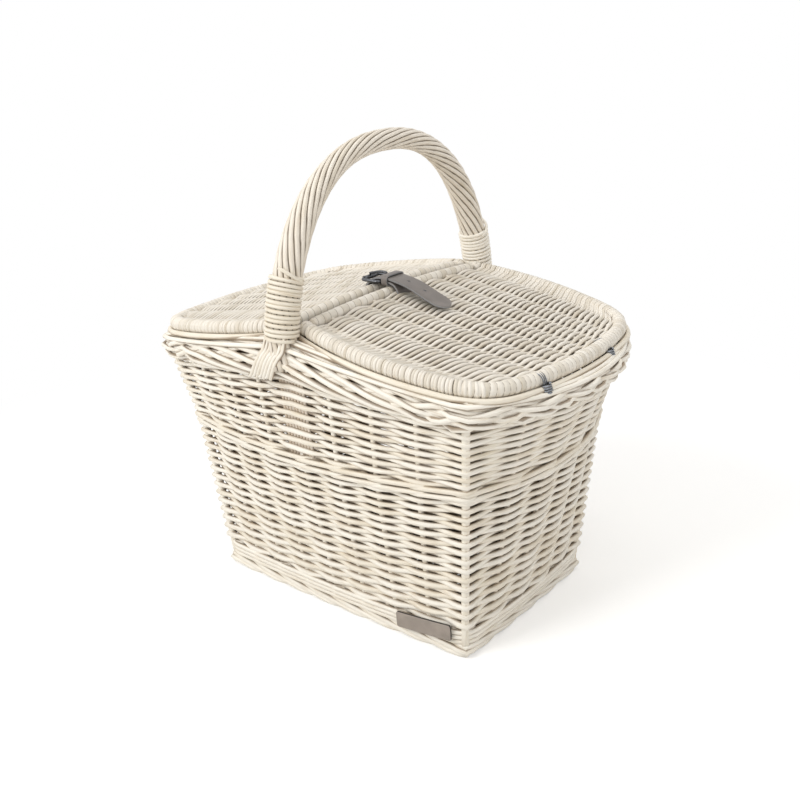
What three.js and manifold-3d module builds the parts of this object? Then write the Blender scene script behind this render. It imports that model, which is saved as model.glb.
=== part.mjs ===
// Willow picnic basket with two hinged lids and an arched handle of twisted rods.
// Millimetres, +Z up. The origin is on the ground under the middle of the basket.
// X runs along the basket from one lid hinge to the other, Y from the front (-) to the back (+).
import * as THREE from 'three';
import { mergeVertices } from 'three/addons/utils/BufferGeometryUtils.js';
import Module from 'manifold-3d';

// Body, measured to the middle of the wall: half sizes at the corners on three levels
const footHalfLength = 134;
const footHalfWidth = 84.5;
const waistHalfLength = 147;
const waistHalfWidth = 97.5;
const rimHalfLength = 157.5;
const rimHalfWidth = 110.5;
// How far the middle of an end or of a long side stands out beyond its corners
const footEndBow = 1;
const footSideBow = 2;
const waistEndBow = 23.5;
const waistSideBow = 22;
const rimEndBow = 34;
const rimSideBow = 16.5;
// Levels of the wall at the corners
const footHeight = 12;
const bottomWaleHeight = 14;
const waistLevel = 155;
const midWaleHeight = 11.4;
const rimLevel = 214;
// The border's lower edge climbs this much from the corners to the handle
const rimRise = 15;
const wallThickness = 11.2;
const waleBulge = 1.8;
const footBorderWidth = 12.5;
const borderWidth = 22;
const borderOverhang = 4;

// Rods
const stakeDiameter = 6;
const cornerPostDiameter = 7.6;
const baseStickDiameter = 5;
const baseStickCount = 5;
const baseMatThickness = 8;
const baseMatLevel = 4;
const sideStakesPerHalf = 3;
const endStakes = 4;

// Lids, measured to the middle of their frame rods
const lidMidX = 9;
const lidCornerX = 170.5;
const lidEndBow = 16;
const lidEndHalfWidth = 105;
const lidSideBow = 14;
const lidCornerCut = 24;
const lidEndLevel = 241;
const lidMidLevel = 268.5;
const lidCrown = 5;
const lidRodDiameter = 10.6;
const lidWeaveThickness = 7.4;
const lidStickRidge = 0.8;
const lidStickCount = 8;

// Handle, measured to the middle of its rods
const handleOutset = 9;
const handleSpringLevel = 230;
const handleTopLevel = 399;
// 1 is a plain ellipse; above it the arch is fuller at its shoulders
const archFullness = 1.13;
const handleFootDiameter = 22;
const handleTopDiameter = 18;
const handleBoundDiameter = 20;
const handleLobes = 8;
const handleTurns = 1.1;
const bowDiameter = 9;
const bowTipDiameter = 6;
const bindingRodDiameter = 2.6;
const bindingPitch = 3.15;
const frontBindingTurns = 14;
const backBindingTurns = 11;
const tailRodDiameter = 3.6;
const tailRods = 8;
const tailSpacing = 3.4;
const tailSlant = 18;

const lidHandleRoom = 8;

// Hinge rings of steel wire, tied round the lid's end rod and into the border
const frontRingY = -54;
const backRingY = 42;
const ringWireDiameter = 1.4;
const ringPitch = 2.1;
const ringTurns = 3;
const ringSlack = 3;
const ringReachOut = 5;
const ringReachDown = 9;

// Strap and buckle
const strapWidth = 20;
const strapThickness = 2.2;
const strapY = -3;
const strapTailLength = 86;
// The tail leaves the keeper at an angle: it turns to the front from this x on
const tailTurnX = 18;
const tailTurn = 0.55;
const tailTurnEase = 8;
const keeperWidth = 6;
const keeperThickness = 1.4;
const keeperX = 6;
const buckleWire = 3;
const buckleLength = 22;
const buckleWidth = 27;
const buckleRightX = 1.6;
const prongWire = 2;

// Leather tag on the front wall
const tagLength = 54;
const tagHeight = 15;
const tagThickness = 2;
const tagX = 101;
const tagLevel = 22;
const tagTilt = 5;

// Clearances
const fit = 0.3;
const seat = 0.4;
const cutterOverrun = 5;

// Steps round the body: along each long side and along each end
const sideSteps = 12;
const endSteps = 8;

const wasm = await Module();
wasm.setup();

const basket = new THREE.Group();

const whiteWillow = new THREE.MeshStandardMaterial({ color: 0xeee8dc, roughness: 0.55, metalness: 0 });
const lidWillow = new THREE.MeshStandardMaterial({ color: 0xe0d8c8, roughness: 0.55, metalness: 0 });
const strapLeather = new THREE.MeshStandardMaterial({ color: 0x807c7a, roughness: 0.6, metalness: 0 });
const tagLeather = new THREE.MeshStandardMaterial({ color: 0x9e948e, roughness: 0.65, metalness: 0 });
const darkNickel = new THREE.MeshStandardMaterial({ color: 0x5a5a5e, roughness: 0.35, metalness: 1 });
const hingeWire = new THREE.MeshStandardMaterial({ color: 0x596273, roughness: 0.4, metalness: 1 });

function addPiece(name, geometry, material) {
  const mesh = new THREE.Mesh(geometry, material);
  mesh.name = name;
  basket.add(mesh);
  return mesh;
}

// Solids from sections, and booleans

function geometryFrom(points, triangles) {
  const geometry = new THREE.BufferGeometry();
  geometry.setAttribute('position', new THREE.Float32BufferAttribute(points.flatMap((p) => p.toArray()), 3));
  geometry.setIndex(triangles);
  return geometry;
}

// Joins closed sections one after the other: a ring when it closes on itself, else with flat ends
function loft(sections, closed) {
  const sides = sections[0].length;
  const triangles = [];
  const last = closed ? sections.length : sections.length - 1;
  for (let i = 0; i < last; i += 1) {
    const here = i * sides;
    const next = ((i + 1) % sections.length) * sides;
    for (let k = 0; k < sides; k += 1) {
      const m = (k + 1) % sides;
      triangles.push(here + k, here + m, next + m, here + k, next + m, next + k);
    }
  }
  if (!closed) {
    const end = (sections.length - 1) * sides;
    for (let k = 1; k < sides - 1; k += 1) {
      triangles.push(0, k + 1, k);
      triangles.push(end, end + k, end + k + 1);
    }
  }
  return geometryFrom(sections.flat(), triangles);
}

function toSolid(geometry) {
  const bare = geometry.clone();
  bare.deleteAttribute('normal');
  bare.deleteAttribute('uv');
  const merged = mergeVertices(bare, 1e-4);
  return new wasm.Manifold(new wasm.Mesh({
    numProp: 3,
    vertProperties: new Float32Array(merged.attributes.position.array),
    triVerts: new Uint32Array(merged.index.array),
  }));
}

function toGeometry(solid) {
  const mesh = solid.getMesh();
  const geometry = new THREE.BufferGeometry();
  geometry.setAttribute('position', new THREE.BufferAttribute(mesh.vertProperties, 3));
  geometry.setIndex(new THREE.BufferAttribute(mesh.triVerts, 1));
  return geometry;
}

function cut(geometry, cutters) {
  return toGeometry(cutters.reduce((solid, cutter) => solid.subtract(toSolid(cutter)), toSolid(geometry)));
}

function join(geometries) {
  return toGeometry(geometries.map(toSolid).reduce((solid, other) => solid.add(other)));
}

// Section points round a centre, in the plane of two unit vectors
function roundSection(centre, across, up, radius, sides) {
  const section = [];
  for (let k = 0; k < sides; k += 1) {
    const angle = (2 * Math.PI * (k + 0.5)) / sides;
    section.push(centre.clone()
      .addScaledVector(across, radius * Math.cos(angle))
      .addScaledVector(up, radius * Math.sin(angle)));
  }
  return section;
}

// A straight or gently bent stick that stands up: level sections at each of its points
function stick(points, diameters, sides) {
  const across = new THREE.Vector3(1, 0, 0);
  const up = new THREE.Vector3(0, 1, 0);
  return loft(points.map((p, i) => roundSection(p, across, up, diameters[i] / 2, sides)), false);
}

function roundShape(diameter, sides) {
  const outline = [];
  for (let k = 0; k < sides; k += 1) {
    const angle = (2 * Math.PI * k) / sides;
    outline.push(new THREE.Vector2((diameter / 2) * Math.cos(angle), (diameter / 2) * Math.sin(angle)));
  }
  return new THREE.Shape(outline);
}

function rodAlong(points, diameter, sides, steps) {
  return new THREE.ExtrudeGeometry(roundShape(diameter, sides), {
    steps,
    extrudePath: new THREE.CatmullRomCurve3(points, false, 'centripetal'),
    bevelEnabled: false,
  });
}

// A wound wire or rod as one unbroken tube, with frames carried along its own points
function windingTube(name, points, diameter, sides, pointsPerTurn) {
  const sections = [];
  let side = new THREE.Vector3(0, 0, 1);
  points.forEach((point, i) => {
    const before = points[Math.max(i - 1, 0)];
    const after = points[Math.min(i + 1, points.length - 1)];
    const along = after.clone().sub(before).normalize();
    side = side.clone().addScaledVector(along, -side.dot(along)).normalize();
    sections.push(roundSection(point, side, along.clone().cross(side), diameter / 2, sides));
  });
  let least = Infinity;
  for (let i = 0; i < points.length; i += 1) {
    for (let k = i + Math.floor(pointsPerTurn / 2); k < points.length; k += 1) {
      least = Math.min(least, points[i].distanceTo(points[k]) - diameter);
    }
  }
  console.log(`${name}: least gap between turns ${least.toFixed(2)} mm`);
  return loft(sections, false);
}

// The wall of the body

function mix(a, b, t) {
  return a + (b - a) * t;
}

function wallAt(level) {
  const low = level < waistLevel;
  const t = low ? level / waistLevel : (level - waistLevel) / (rimLevel - waistLevel);
  return {
    halfLength: low ? mix(footHalfLength, waistHalfLength, t) : mix(waistHalfLength, rimHalfLength, t),
    halfWidth: low ? mix(footHalfWidth, waistHalfWidth, t) : mix(waistHalfWidth, rimHalfWidth, t),
    endBow: low ? mix(footEndBow, waistEndBow, t) : mix(waistEndBow, rimEndBow, t),
    sideBow: low ? mix(footSideBow, waistSideBow, t) : mix(waistSideBow, rimSideBow, t),
  };
}

// The wall's rows above the waist climb towards the handle
function rowLift(edge, s, level) {
  const share = Math.max(0, (level - waistLevel) / (rimLevel - waistLevel));
  return edge % 2 === 0 ? rimRise * (1 - Math.abs(s)) * share : 0;
}

// A point of the wall's middle. Edges 0 to 3 are front, +X end, back and -X end; s runs from -1 to 1
function wallPoint(edge, s, level) {
  const wall = wallAt(level);
  const turn = edge > 1 ? -1 : 1;
  const bulge = 1 - s * s;
  const x = edge % 2 === 0 ? wall.halfLength * s : wall.halfLength + wall.endBow * bulge;
  const y = edge % 2 === 0 ? -(wall.halfWidth + wall.sideBow * bulge) : wall.halfWidth * s;
  return new THREE.Vector3(turn * x, turn * y, level + rowLift(edge, s, level));
}

function wallNormal(edge, s, level) {
  const wall = wallAt(level);
  const turn = edge > 1 ? -1 : 1;
  const normal = edge % 2 === 0
    ? new THREE.Vector3(2 * wall.sideBow * s, -wall.halfLength, 0)
    : new THREE.Vector3(wall.halfWidth, 2 * wall.endBow * s, 0);
  return normal.multiplyScalar(turn).normalize();
}

// Stations round the body, each with its place and a corner's mitred direction
function stationsRound() {
  const stations = [];
  for (let edge = 0; edge < 4; edge += 1) {
    const steps = edge % 2 === 0 ? sideSteps : endSteps;
    for (let k = 0; k < steps; k += 1) {
      stations.push({ edge, s: (2 * k) / steps - 1, corner: k === 0 });
    }
  }
  return stations;
}

function outwardAt(station, level) {
  const normal = wallNormal(station.edge, station.s, level);
  if (!station.corner) return normal;
  const before = wallNormal((station.edge + 3) % 4, 1, level);
  const mitre = normal.clone().add(before).normalize();
  return mitre.divideScalar(mitre.dot(normal));
}

// A ring round the wall, from one section at each station, each drawn inside, below, outside, above
function ringRound(sectionAt) {
  return loft(stationsRound().map((station) => sectionAt(station).reverse()), true);
}

// A band of the wall: the profile gives pairs of outward offset and level
function band(profile) {
  return ringRound((station) => profile.map(([offset, level]) => (
    wallPoint(station.edge, station.s, level).addScaledVector(outwardAt(station, level), offset)
  )));
}

// Three rods lying on each other, as a wale shows them outside, with a flat inner side
function waleProfile(low, height) {
  const half = wallThickness / 2;
  const rod = height / 3;
  const profile = [[-half, low + height], [-half, low], [half, low]];
  for (let k = 0; k < 3; k += 1) {
    profile.push([half + waleBulge, low + rod * (k + 0.5)]);
    profile.push([half, low + rod * (k + 1)]);
  }
  return profile;
}

function weaveProfile(low, high) {
  const half = wallThickness / 2;
  return [[-half, high], [-half, low], [half, low], [half, high]];
}

// Where the stakes stand: front and back on both sides of the handle, then the ends
function stakePlaces() {
  const places = [];
  for (const edge of [0, 2]) {
    for (let k = -sideStakesPerHalf; k <= sideStakesPerHalf; k += 1) {
      if (k !== 0) places.push({ edge, s: k / (sideStakesPerHalf + 1) });
    }
  }
  for (const edge of [1, 3]) {
    for (let k = 1; k <= endStakes; k += 1) {
      places.push({ edge, s: (2 * k) / (endStakes + 1) - 1 });
    }
  }
  return places;
}

// A stake stands on the foot border and ends under the rim border, bent a little at the waist
function stake(edge, s, diameter, endGap) {
  const levels = [footHeight + endGap, waistLevel, rimLevel - endGap];
  return stick(levels.map((level) => wallPoint(edge, s, level)), levels.map(() => diameter), 6);
}

// Lids: the +X lid is shaped here and the -X lid is its mirror image

const lidRodRadius = lidRodDiameter / 2;

function lidEndX(y) {
  return lidCornerX + lidEndBow * (1 - (y / lidEndHalfWidth) ** 2);
}

// The lid turns about its end rod where the two hinge rings hold it
const pivotX = (lidEndX(frontRingY) + lidEndX(backRingY)) / 2;

// Share of the way from the pivot back to the mid bar
function lidShare(x) {
  return Math.min(Math.max((pivotX - Math.abs(x)) / (pivotX - lidMidX), 0), 1);
}

function lidHalfWidth(x) {
  const q = 1 - Math.min(Math.max((lidCornerX - x) / (lidCornerX - lidMidX), 0), 1);
  return mix(lidMidHalfWidth, lidEndHalfWidth, q) + lidSideBow * 4 * q * (1 - q);
}

function lidLevel(x, y) {
  const across = 1 - Math.min((y / lidHalfWidth(x)) ** 2, 1);
  const share = lidShare(x);
  return mix(lidEndLevel, lidMidLevel, share) + lidCrown * share * across;
}

function onLid(x, y) {
  return new THREE.Vector3(x, y, lidLevel(x, y));
}

// The border fills the height from the wall's last row to the underside of the lids' frame rods
function borderSpan(station) {
  const foot = wallPoint(station.edge, station.s, rimLevel);
  const low = foot.z;
  const high = mix(lidEndLevel, lidMidLevel, lidShare(foot.x)) - lidRodRadius - seat;
  return { low, high, middle: (low + high) / 2, half: (high - low) / 2 };
}

// Point on the border's outer skin, or outside it by extra; angle 90 is the top
function borderPoint(station, angle, extra) {
  const span = borderSpan(station);
  const point = wallPoint(station.edge, station.s, rimLevel);
  const turn = THREE.MathUtils.degToRad(angle);
  point.addScaledVector(outwardAt(station, rimLevel), borderOverhang + (borderWidth / 2 + extra) * Math.cos(turn));
  point.z = span.middle + (span.half + extra) * Math.sin(turn);
  return point;
}

function rimBorder() {
  const sides = 10;
  return ringRound((station) => {
    const section = [];
    for (let k = 0; k < sides; k += 1) section.push(borderPoint(station, (360 * (k + 0.5)) / sides, 0));
    return section;
  });
}

// The handle stands on the middle of the border, and the lids end clear of its bindings
const handleHalfSpan = rimHalfWidth + rimSideBow + handleOutset;
const boundRadius = handleBoundDiameter / 2 + seat + bindingRodDiameter;
const lidMidHalfWidth = handleHalfSpan - boundRadius - lidHandleRoom;

// Handle: an arch in the plane x = 0, given by the angle from its front springing

function archCentre(angle) {
  const across = Math.sign(Math.cos(angle)) * Math.abs(Math.cos(angle)) ** (1 / archFullness);
  const up = Math.sin(angle) ** (1 / archFullness);
  return new THREE.Vector3(
    0,
    -handleHalfSpan * across,
    handleSpringLevel + (handleTopLevel - handleSpringLevel) * up,
  );
}

function archPoint(angle, across, out) {
  const along = archTangent(angle);
  return archCentre(angle)
    .addScaledVector(new THREE.Vector3(1, 0, 0), across)
    .addScaledVector(new THREE.Vector3(0, -along.z, along.y), out);
}

function archTangent(angle) {
  const step = 0.01;
  return archCentre(angle + step).sub(archCentre(angle - step)).normalize();
}

function archAngleAt(level) {
  return Math.asin(((level - handleSpringLevel) / (handleTopLevel - handleSpringLevel)) ** archFullness);
}

const borderTopAtHandle = lidMidLevel - lidRodRadius - seat;
const handleFootLevel = borderTopAtHandle + seat;
const footAngle = archAngleAt(handleFootLevel);

function bindingHeight(turns) {
  return turns * bindingPitch + bindingRodDiameter;
}

// Thickness of the twisted rods: drawn in under the bindings, thickest just above them
function handleDiameterAt(angle) {
  const front = angle < Math.PI / 2;
  const turns = front ? frontBindingTurns : backBindingTurns;
  const bound = archAngleAt(handleFootLevel + bindingHeight(turns));
  const fromFoot = front ? angle : Math.PI - angle;
  if (fromFoot <= bound) return handleBoundDiameter;
  const share = (fromFoot - bound) / (Math.PI / 2 - bound);
  return share < 0.12
    ? mix(handleBoundDiameter, handleFootDiameter, share / 0.12)
    : mix(handleFootDiameter, handleTopDiameter, Math.sin((share * Math.PI) / 2));
}

// The rods lie side by side in a bundle that turns about the bow
function twistedRods() {
  const steps = 28;
  const pointsPerRod = 3;
  const sections = [];
  for (let i = 0; i <= steps; i += 1) {
    const share = i / steps;
    const angle = mix(footAngle, Math.PI - footAngle, share);
    const radius = handleDiameterAt(angle) / 2;
    const section = [];
    for (let k = 0; k < handleLobes * pointsPerRod; k += 1) {
      const valley = k % pointsPerRod === 0;
      const around = (2 * Math.PI * k) / (handleLobes * pointsPerRod) - 2 * Math.PI * handleTurns * share;
      const reach = valley ? radius * 0.84 : radius;
      section.push(archPoint(angle, reach * Math.cos(around), reach * Math.sin(around)));
    }
    sections.push(section.reverse());
  }
  return loft(sections, false);
}

// The bow is the stout rod inside the handle. Its thinned ends go down through the border to the waist
function handleBow(extra, endGap) {
  const tipLevel = waistLevel + midWaleHeight / 2 + endGap;
  const path = [
    { point: wallPoint(0, 0, tipLevel), diameter: bowTipDiameter },
    { point: wallPoint(0, 0, rimLevel), diameter: bowTipDiameter },
    { point: archPoint(footAngle, 0, 0), diameter: bowDiameter },
  ];
  const steps = 22;
  for (let i = 1; i < steps; i += 1) {
    path.push({ point: archPoint(mix(footAngle, Math.PI - footAngle, i / steps), 0, 0), diameter: bowDiameter });
  }
  const back = path.slice(0, 3).reverse().map(({ point, diameter }) => ({
    point: point.clone().multiply(new THREE.Vector3(1, -1, 1)),
    diameter,
  }));
  const all = [...path, ...back];
  const across = new THREE.Vector3(1, 0, 0);
  return loft(all.map(({ point, diameter }, i) => {
    const before = all[Math.max(i - 1, 0)].point;
    const after = all[Math.min(i + 1, all.length - 1)].point;
    const along = after.clone().sub(before).normalize();
    return roundSection(point, across, across.clone().cross(along).negate(), diameter / 2 + extra, 6);
  }), false);
}

// Thin rod wound round a foot of the handle, close turn beside close turn
function binding(name, turns, back) {
  const pointsPerTurn = 10;
  const total = turns * pointsPerTurn;
  const clear = handleBoundDiameter / 2 + seat + bindingRodDiameter / 2;
  const wound = clear / Math.cos(Math.PI / pointsPerTurn);
  const points = [];
  for (let i = 0; i <= total; i += 1) {
    const level = handleFootLevel + bindingRodDiameter / 2 + seat + (bindingPitch * i) / pointsPerTurn;
    const angle = archAngleAt(level);
    const around = (2 * Math.PI * i) / pointsPerTurn;
    const point = archPoint(angle, wound * Math.cos(around), wound * Math.sin(around));
    if (back) point.multiply(new THREE.Vector3(-1, -1, 1));
    points.push(point);
  }
  const first = points[0].clone().sub(points[1]).setLength(bindingRodDiameter).add(points[0]);
  const end = points.at(-1).clone().sub(points.at(-2)).setLength(bindingRodDiameter).add(points.at(-1));
  return windingTube(name, [first, ...points, end], bindingRodDiameter, 5, pointsPerTurn);
}

// Ends of the handle rods, laid over the border in a fan that slants off to one side
function handleTails(edge) {
  const rods = [];
  const radius = tailRodDiameter / 2;
  const angles = [38, 14, -10, -34, -58];
  const halfLength = wallAt(rimLevel).halfLength;
  for (let k = 0; k < tailRods; k += 1) {
    const start = (k - (tailRods - 1) / 2) * tailSpacing;
    const points = angles.map((angle, i) => {
      const x = start - (tailSlant * i) / (angles.length - 1);
      return borderPoint({ edge, s: x / halfLength, corner: false }, angle, radius + seat);
    });
    rods.push(rodAlong(points, tailRodDiameter, 5, 3));
  }
  return join(rods);
}

// Frame rod of a lid: out along one side, round the end and back along the other side
function lidHoop() {
  const points = [];
  const sideEnd = lidCornerX - lidCornerCut;
  const sidePoints = 5;
  for (let i = 0; i <= sidePoints; i += 1) {
    const x = mix(lidMidX - lidRodRadius, sideEnd, i / sidePoints);
    points.push([x, -lidHalfWidth(Math.max(x, lidMidX))]);
  }
  const from = new THREE.Vector2(sideEnd, -lidHalfWidth(sideEnd));
  const corner = new THREE.Vector2(lidCornerX, -lidEndHalfWidth);
  const endY = -(lidEndHalfWidth - lidCornerCut);
  const to = new THREE.Vector2(lidEndX(endY), endY);
  const round = new THREE.QuadraticBezierCurve(from, corner, to);
  for (const t of [0.33, 0.67, 1]) points.push(round.getPoint(t).toArray());
  const half = [...points, [lidEndX(endY / 2), endY / 2]];
  const mirrored = [...half].reverse().map(([x, y]) => [x, -y]);
  const path = [...half, [lidEndX(0), 0], ...mirrored].map(([x, y]) => onLid(x, y));
  return rodAlong(path, lidRodDiameter, 6, 40);
}

// The mid bar runs between the two ends of the hoop
function lidMidBar() {
  const reach = lidMidHalfWidth - lidRodRadius - seat;
  const points = [];
  for (let i = -2; i <= 2; i += 1) points.push(onLid(lidMidX, (reach * i) / 2));
  return rodAlong(points, lidRodDiameter, 8, 8);
}

// Woven panel inside the frame, with a ridge over each of its sticks
function lidPanel() {
  const inset = lidRodRadius + seat;
  const lengthSteps = 6;
  const columns = lidStickCount * 2;
  const grid = (sign) => {
    const rows = [];
    for (let j = 0; j <= columns; j += 1) {
      const s = (2 * j) / columns - 1;
      const squeeze = Math.max(0, (Math.abs(s) - 0.5) / 0.5) ** 2;
      const far = lidEndX(s * lidEndHalfWidth) - inset - squeeze * lidCornerCut * 0.66;
      const row = [];
      for (let i = 0; i <= lengthSteps; i += 1) {
        const x = mix(lidMidX + inset, far, i / lengthSteps);
        const y = s * (lidHalfWidth(x) - inset - seat);
        const ridge = j % 2 === 1 ? lidStickRidge : 0;
        const point = onLid(x, y);
        point.z += sign * (lidWeaveThickness / 2 + ridge);
        row.push(point);
      }
      rows.push(row);
    }
    return rows;
  };
  const top = grid(1);
  const bottom = grid(-1);
  return loft(top.map((row, j) => [...row, ...bottom[j].slice().reverse()]), false);
}

// Hinge ring: a wire coil round the end rod of the lid and a rod of the border

function ringCentre(y) {
  const pivot = new THREE.Vector3(pivotX, y, lidEndLevel);
  return pivot.add(new THREE.Vector3(ringReachOut / 2, 0, -ringReachDown / 2));
}

const ringReach = Math.hypot(ringReachOut, ringReachDown);
const ringTilt = Math.atan2(-ringReachDown, ringReachOut);
const ringHalfWidth = lidRodRadius + ringSlack + ringWireDiameter / 2;
const ringHalfLength = ringReach / 2 + ringHalfWidth;

function ringPoint(y, around, along) {
  const u = ringHalfLength * Math.cos(around);
  const v = ringHalfWidth * Math.sin(around);
  const centre = ringCentre(y);
  return new THREE.Vector3(
    centre.x + u * Math.cos(ringTilt) - v * Math.sin(ringTilt),
    y + along,
    centre.z + u * Math.sin(ringTilt) + v * Math.cos(ringTilt),
  );
}

function hingeRing(name, y) {
  const pointsPerTurn = 12;
  const total = ringTurns * pointsPerTurn;
  const points = [];
  for (let i = 0; i <= total; i += 1) {
    const along = ringPitch * (i / pointsPerTurn - ringTurns / 2);
    points.push(ringPoint(y, Math.PI / 2 + (2 * Math.PI * i) / pointsPerTurn, along));
  }
  const first = points[0].clone().sub(points[1]).setLength(ringWireDiameter).add(points[0]);
  const end = points.at(-1).clone().sub(points.at(-2)).setLength(ringWireDiameter).add(points.at(-1));
  return windingTube(name, [first, ...points, end], ringWireDiameter, 5, pointsPerTurn);
}

// The slot that the wire has pressed into the border, with the tied rod left standing inside it
function ringSlot(y) {
  const room = ringWireDiameter / 2 + seat;
  const outline = new THREE.Shape();
  outline.absellipse(0, 0, ringHalfLength + room, ringHalfWidth + room, 0, 2 * Math.PI, false, 0);
  const island = new THREE.Path();
  island.absellipse(0, 0, ringHalfLength - room, ringHalfWidth - room, 0, 2 * Math.PI, false, 0);
  outline.holes.push(island);
  const width = ringPitch * ringTurns + 2 * room;
  const slot = new THREE.ExtrudeGeometry(outline, { depth: width, curveSegments: 6, bevelEnabled: false });
  const centre = ringCentre(y);
  slot.rotateZ(ringTilt);
  slot.rotateX(Math.PI / 2);
  slot.translate(centre.x, y + width / 2, centre.z);
  return slot;
}

// Notch in the edge of a lid's weave, to let a ring pass round the end rod
function ringNotch(y) {
  const length = ringHalfWidth + ringWireDiameter / 2 + seat;
  const width = ringPitch * ringTurns + ringWireDiameter + 2 * seat;
  const notch = new THREE.BoxGeometry(length, width, 4 * lidRodDiameter);
  return notch.translate(pivotX - length / 2, y, lidEndLevel);
}

// The end rod bows out past its pivot, so it dips into the border as the lid opens and needs this trough
function endTrough() {
  const sections = [];
  const steps = 8;
  for (let i = 0; i <= steps; i += 1) {
    const y = mix(-1, 1, i / steps) * lidEndHalfWidth * 0.6;
    const radius = lidRodRadius + Math.max(0, lidEndX(y) - pivotX) + seat;
    const centre = new THREE.Vector3(pivotX, y, lidEndLevel);
    sections.push(roundSection(centre, new THREE.Vector3(0, 0, 1), new THREE.Vector3(1, 0, 0), radius, 12));
  }
  return loft(sections, false);
}

function mirrorX(geometry) {
  const mirrored = geometry.index ? geometry.clone() : mergeVertices(geometry.clone().deleteAttribute('uv'));
  mirrored.deleteAttribute('normal');
  const position = mirrored.attributes.position;
  for (let i = 0; i < position.count; i += 1) position.setX(i, -position.getX(i));
  const index = mirrored.index.array;
  for (let i = 0; i < index.length; i += 3) [index[i + 1], index[i + 2]] = [index[i + 2], index[i + 1]];
  return mirrored;
}

// Strap: one strip of leather, drawn from the side. Its x runs along the basket, its y is the level.
// It starts behind the buckle, goes over the right mid bar and down through the weave, under both bars,
// up through the other lid's weave and through the buckle, and its tail lies over the right lid.

const barLevel = lidMidLevel + lidCrown;
const barTop = barLevel + lidRodRadius;
const strapHalf = strapThickness / 2;
const strapWrap = lidRodRadius + 2 * seat + strapHalf;
const strapOverLevel = barTop + seat + keeperThickness + seat + strapHalf;
const buckleInnerX = buckleRightX - buckleWire / 2;
const buckleFarX = buckleRightX - buckleLength + buckleWire / 2;
const tailOverLevel = strapOverLevel + buckleWire / 2 + seat + strapHalf;

// Points round a mid bar at the strap's distance, from one angle to another in degrees
function roundBar(x, from, to, count) {
  return Array.from({ length: count }, (_, i) => {
    const angle = THREE.MathUtils.degToRad(mix(from, to, i / (count - 1)));
    return new THREE.Vector2(x + strapWrap * Math.cos(angle), barLevel + strapWrap * Math.sin(angle));
  });
}

// How far the tail has turned to the front at a given x
function tailShift(x) {
  const past = Math.max(x - tailTurnX, 0);
  return (tailTurn * past * past) / (past + tailTurnEase);
}

function strapPath() {
  const tipY = strapY - tailShift(strapTailLength);
  const tipRest = lidLevel(strapTailLength, tipY) + lidWeaveThickness / 2 + lidStickRidge + seat + strapHalf;
  return [
    new THREE.Vector2(buckleRightX + seat, strapOverLevel),
    new THREE.Vector2(lidMidX, strapOverLevel),
    ...roundBar(lidMidX, 30, -90, 5),
    ...roundBar(-lidMidX, -90, -240, 6),
    new THREE.Vector2(-lidMidX + 3, mix(barTop, tailOverLevel, 0.82)),
    new THREE.Vector2(buckleInnerX, tailOverLevel),
    new THREE.Vector2(lidMidX, tailOverLevel),
    new THREE.Vector2(mix(lidMidX, strapTailLength, 0.3), mix(tailOverLevel, tipRest, 0.18)),
    new THREE.Vector2(mix(lidMidX, strapTailLength, 0.7), mix(tailOverLevel, tipRest, 0.68)),
    new THREE.Vector2(strapTailLength, tipRest),
  ];
}

function strapOutline() {
  const middle = new THREE.SplineCurve(strapPath()).getPoints(48);
  const sideOf = (sign) => middle.map((point, i) => {
    const before = middle[Math.max(i - 1, 0)];
    const after = middle[Math.min(i + 1, middle.length - 1)];
    const along = after.clone().sub(before).normalize();
    return point.clone().add(new THREE.Vector2(-along.y, along.x).multiplyScalar(sign * strapHalf));
  });
  return new THREE.Shape([...sideOf(1), ...sideOf(-1).reverse()]);
}

// The tail's tip is rounded in plan by cutting away what lies outside a half circle
function tipCutter() {
  const radius = strapWidth / 2;
  const outline = new THREE.Shape();
  outline.moveTo(strapTailLength - radius, -radius - cutterOverrun);
  outline.lineTo(strapTailLength + cutterOverrun, -radius - cutterOverrun);
  outline.lineTo(strapTailLength + cutterOverrun, radius + cutterOverrun);
  outline.lineTo(strapTailLength - radius, radius + cutterOverrun);
  outline.lineTo(strapTailLength - radius, radius);
  outline.absarc(strapTailLength - radius, 0, radius, Math.PI / 2, -Math.PI / 2, true);
  outline.closePath();
  const depth = tailOverLevel - lidEndLevel + cutterOverrun;
  const cutter = new THREE.ExtrudeGeometry(outline, { depth, curveSegments: 8, bevelEnabled: false });
  return cutter.translate(0, strapY, lidEndLevel);
}

function strap() {
  const strip = new THREE.ExtrudeGeometry(strapOutline(), { depth: strapWidth, bevelEnabled: false });
  strip.rotateX(Math.PI / 2);
  strip.translate(0, strapY + strapWidth / 2, 0);
  const trimmed = cut(strip, [tipCutter()]);
  const position = trimmed.attributes.position;
  for (let i = 0; i < position.count; i += 1) {
    position.setY(i, position.getY(i) - tailShift(position.getX(i)));
  }
  return trimmed;
}

// A lid's weave parts beside its mid bar to let the strap through
function strapGate() {
  const far = strapWrap + strapHalf + seat;
  const height = 4 * lidRodDiameter;
  const gate = new THREE.BoxGeometry(2 * far, strapWidth + 2 * seat, height);
  return gate.translate(lidMidX, strapY, lidMidLevel);
}

// Bent wire frame with rounded corners, standing a little above the left mid bar
function buckleFrame() {
  const radius = 5;
  const outline = roundedRectangle(buckleLength, buckleWidth, radius);
  outline.holes.push(roundedRectangle(buckleLength - 2 * buckleWire, buckleWidth - 2 * buckleWire, radius - buckleWire));
  const frame = new THREE.ExtrudeGeometry(outline, { depth: buckleWire, curveSegments: 4, bevelEnabled: false });
  return frame.translate(buckleRightX - buckleLength / 2, strapY, strapOverLevel - buckleWire / 2);
}

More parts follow.
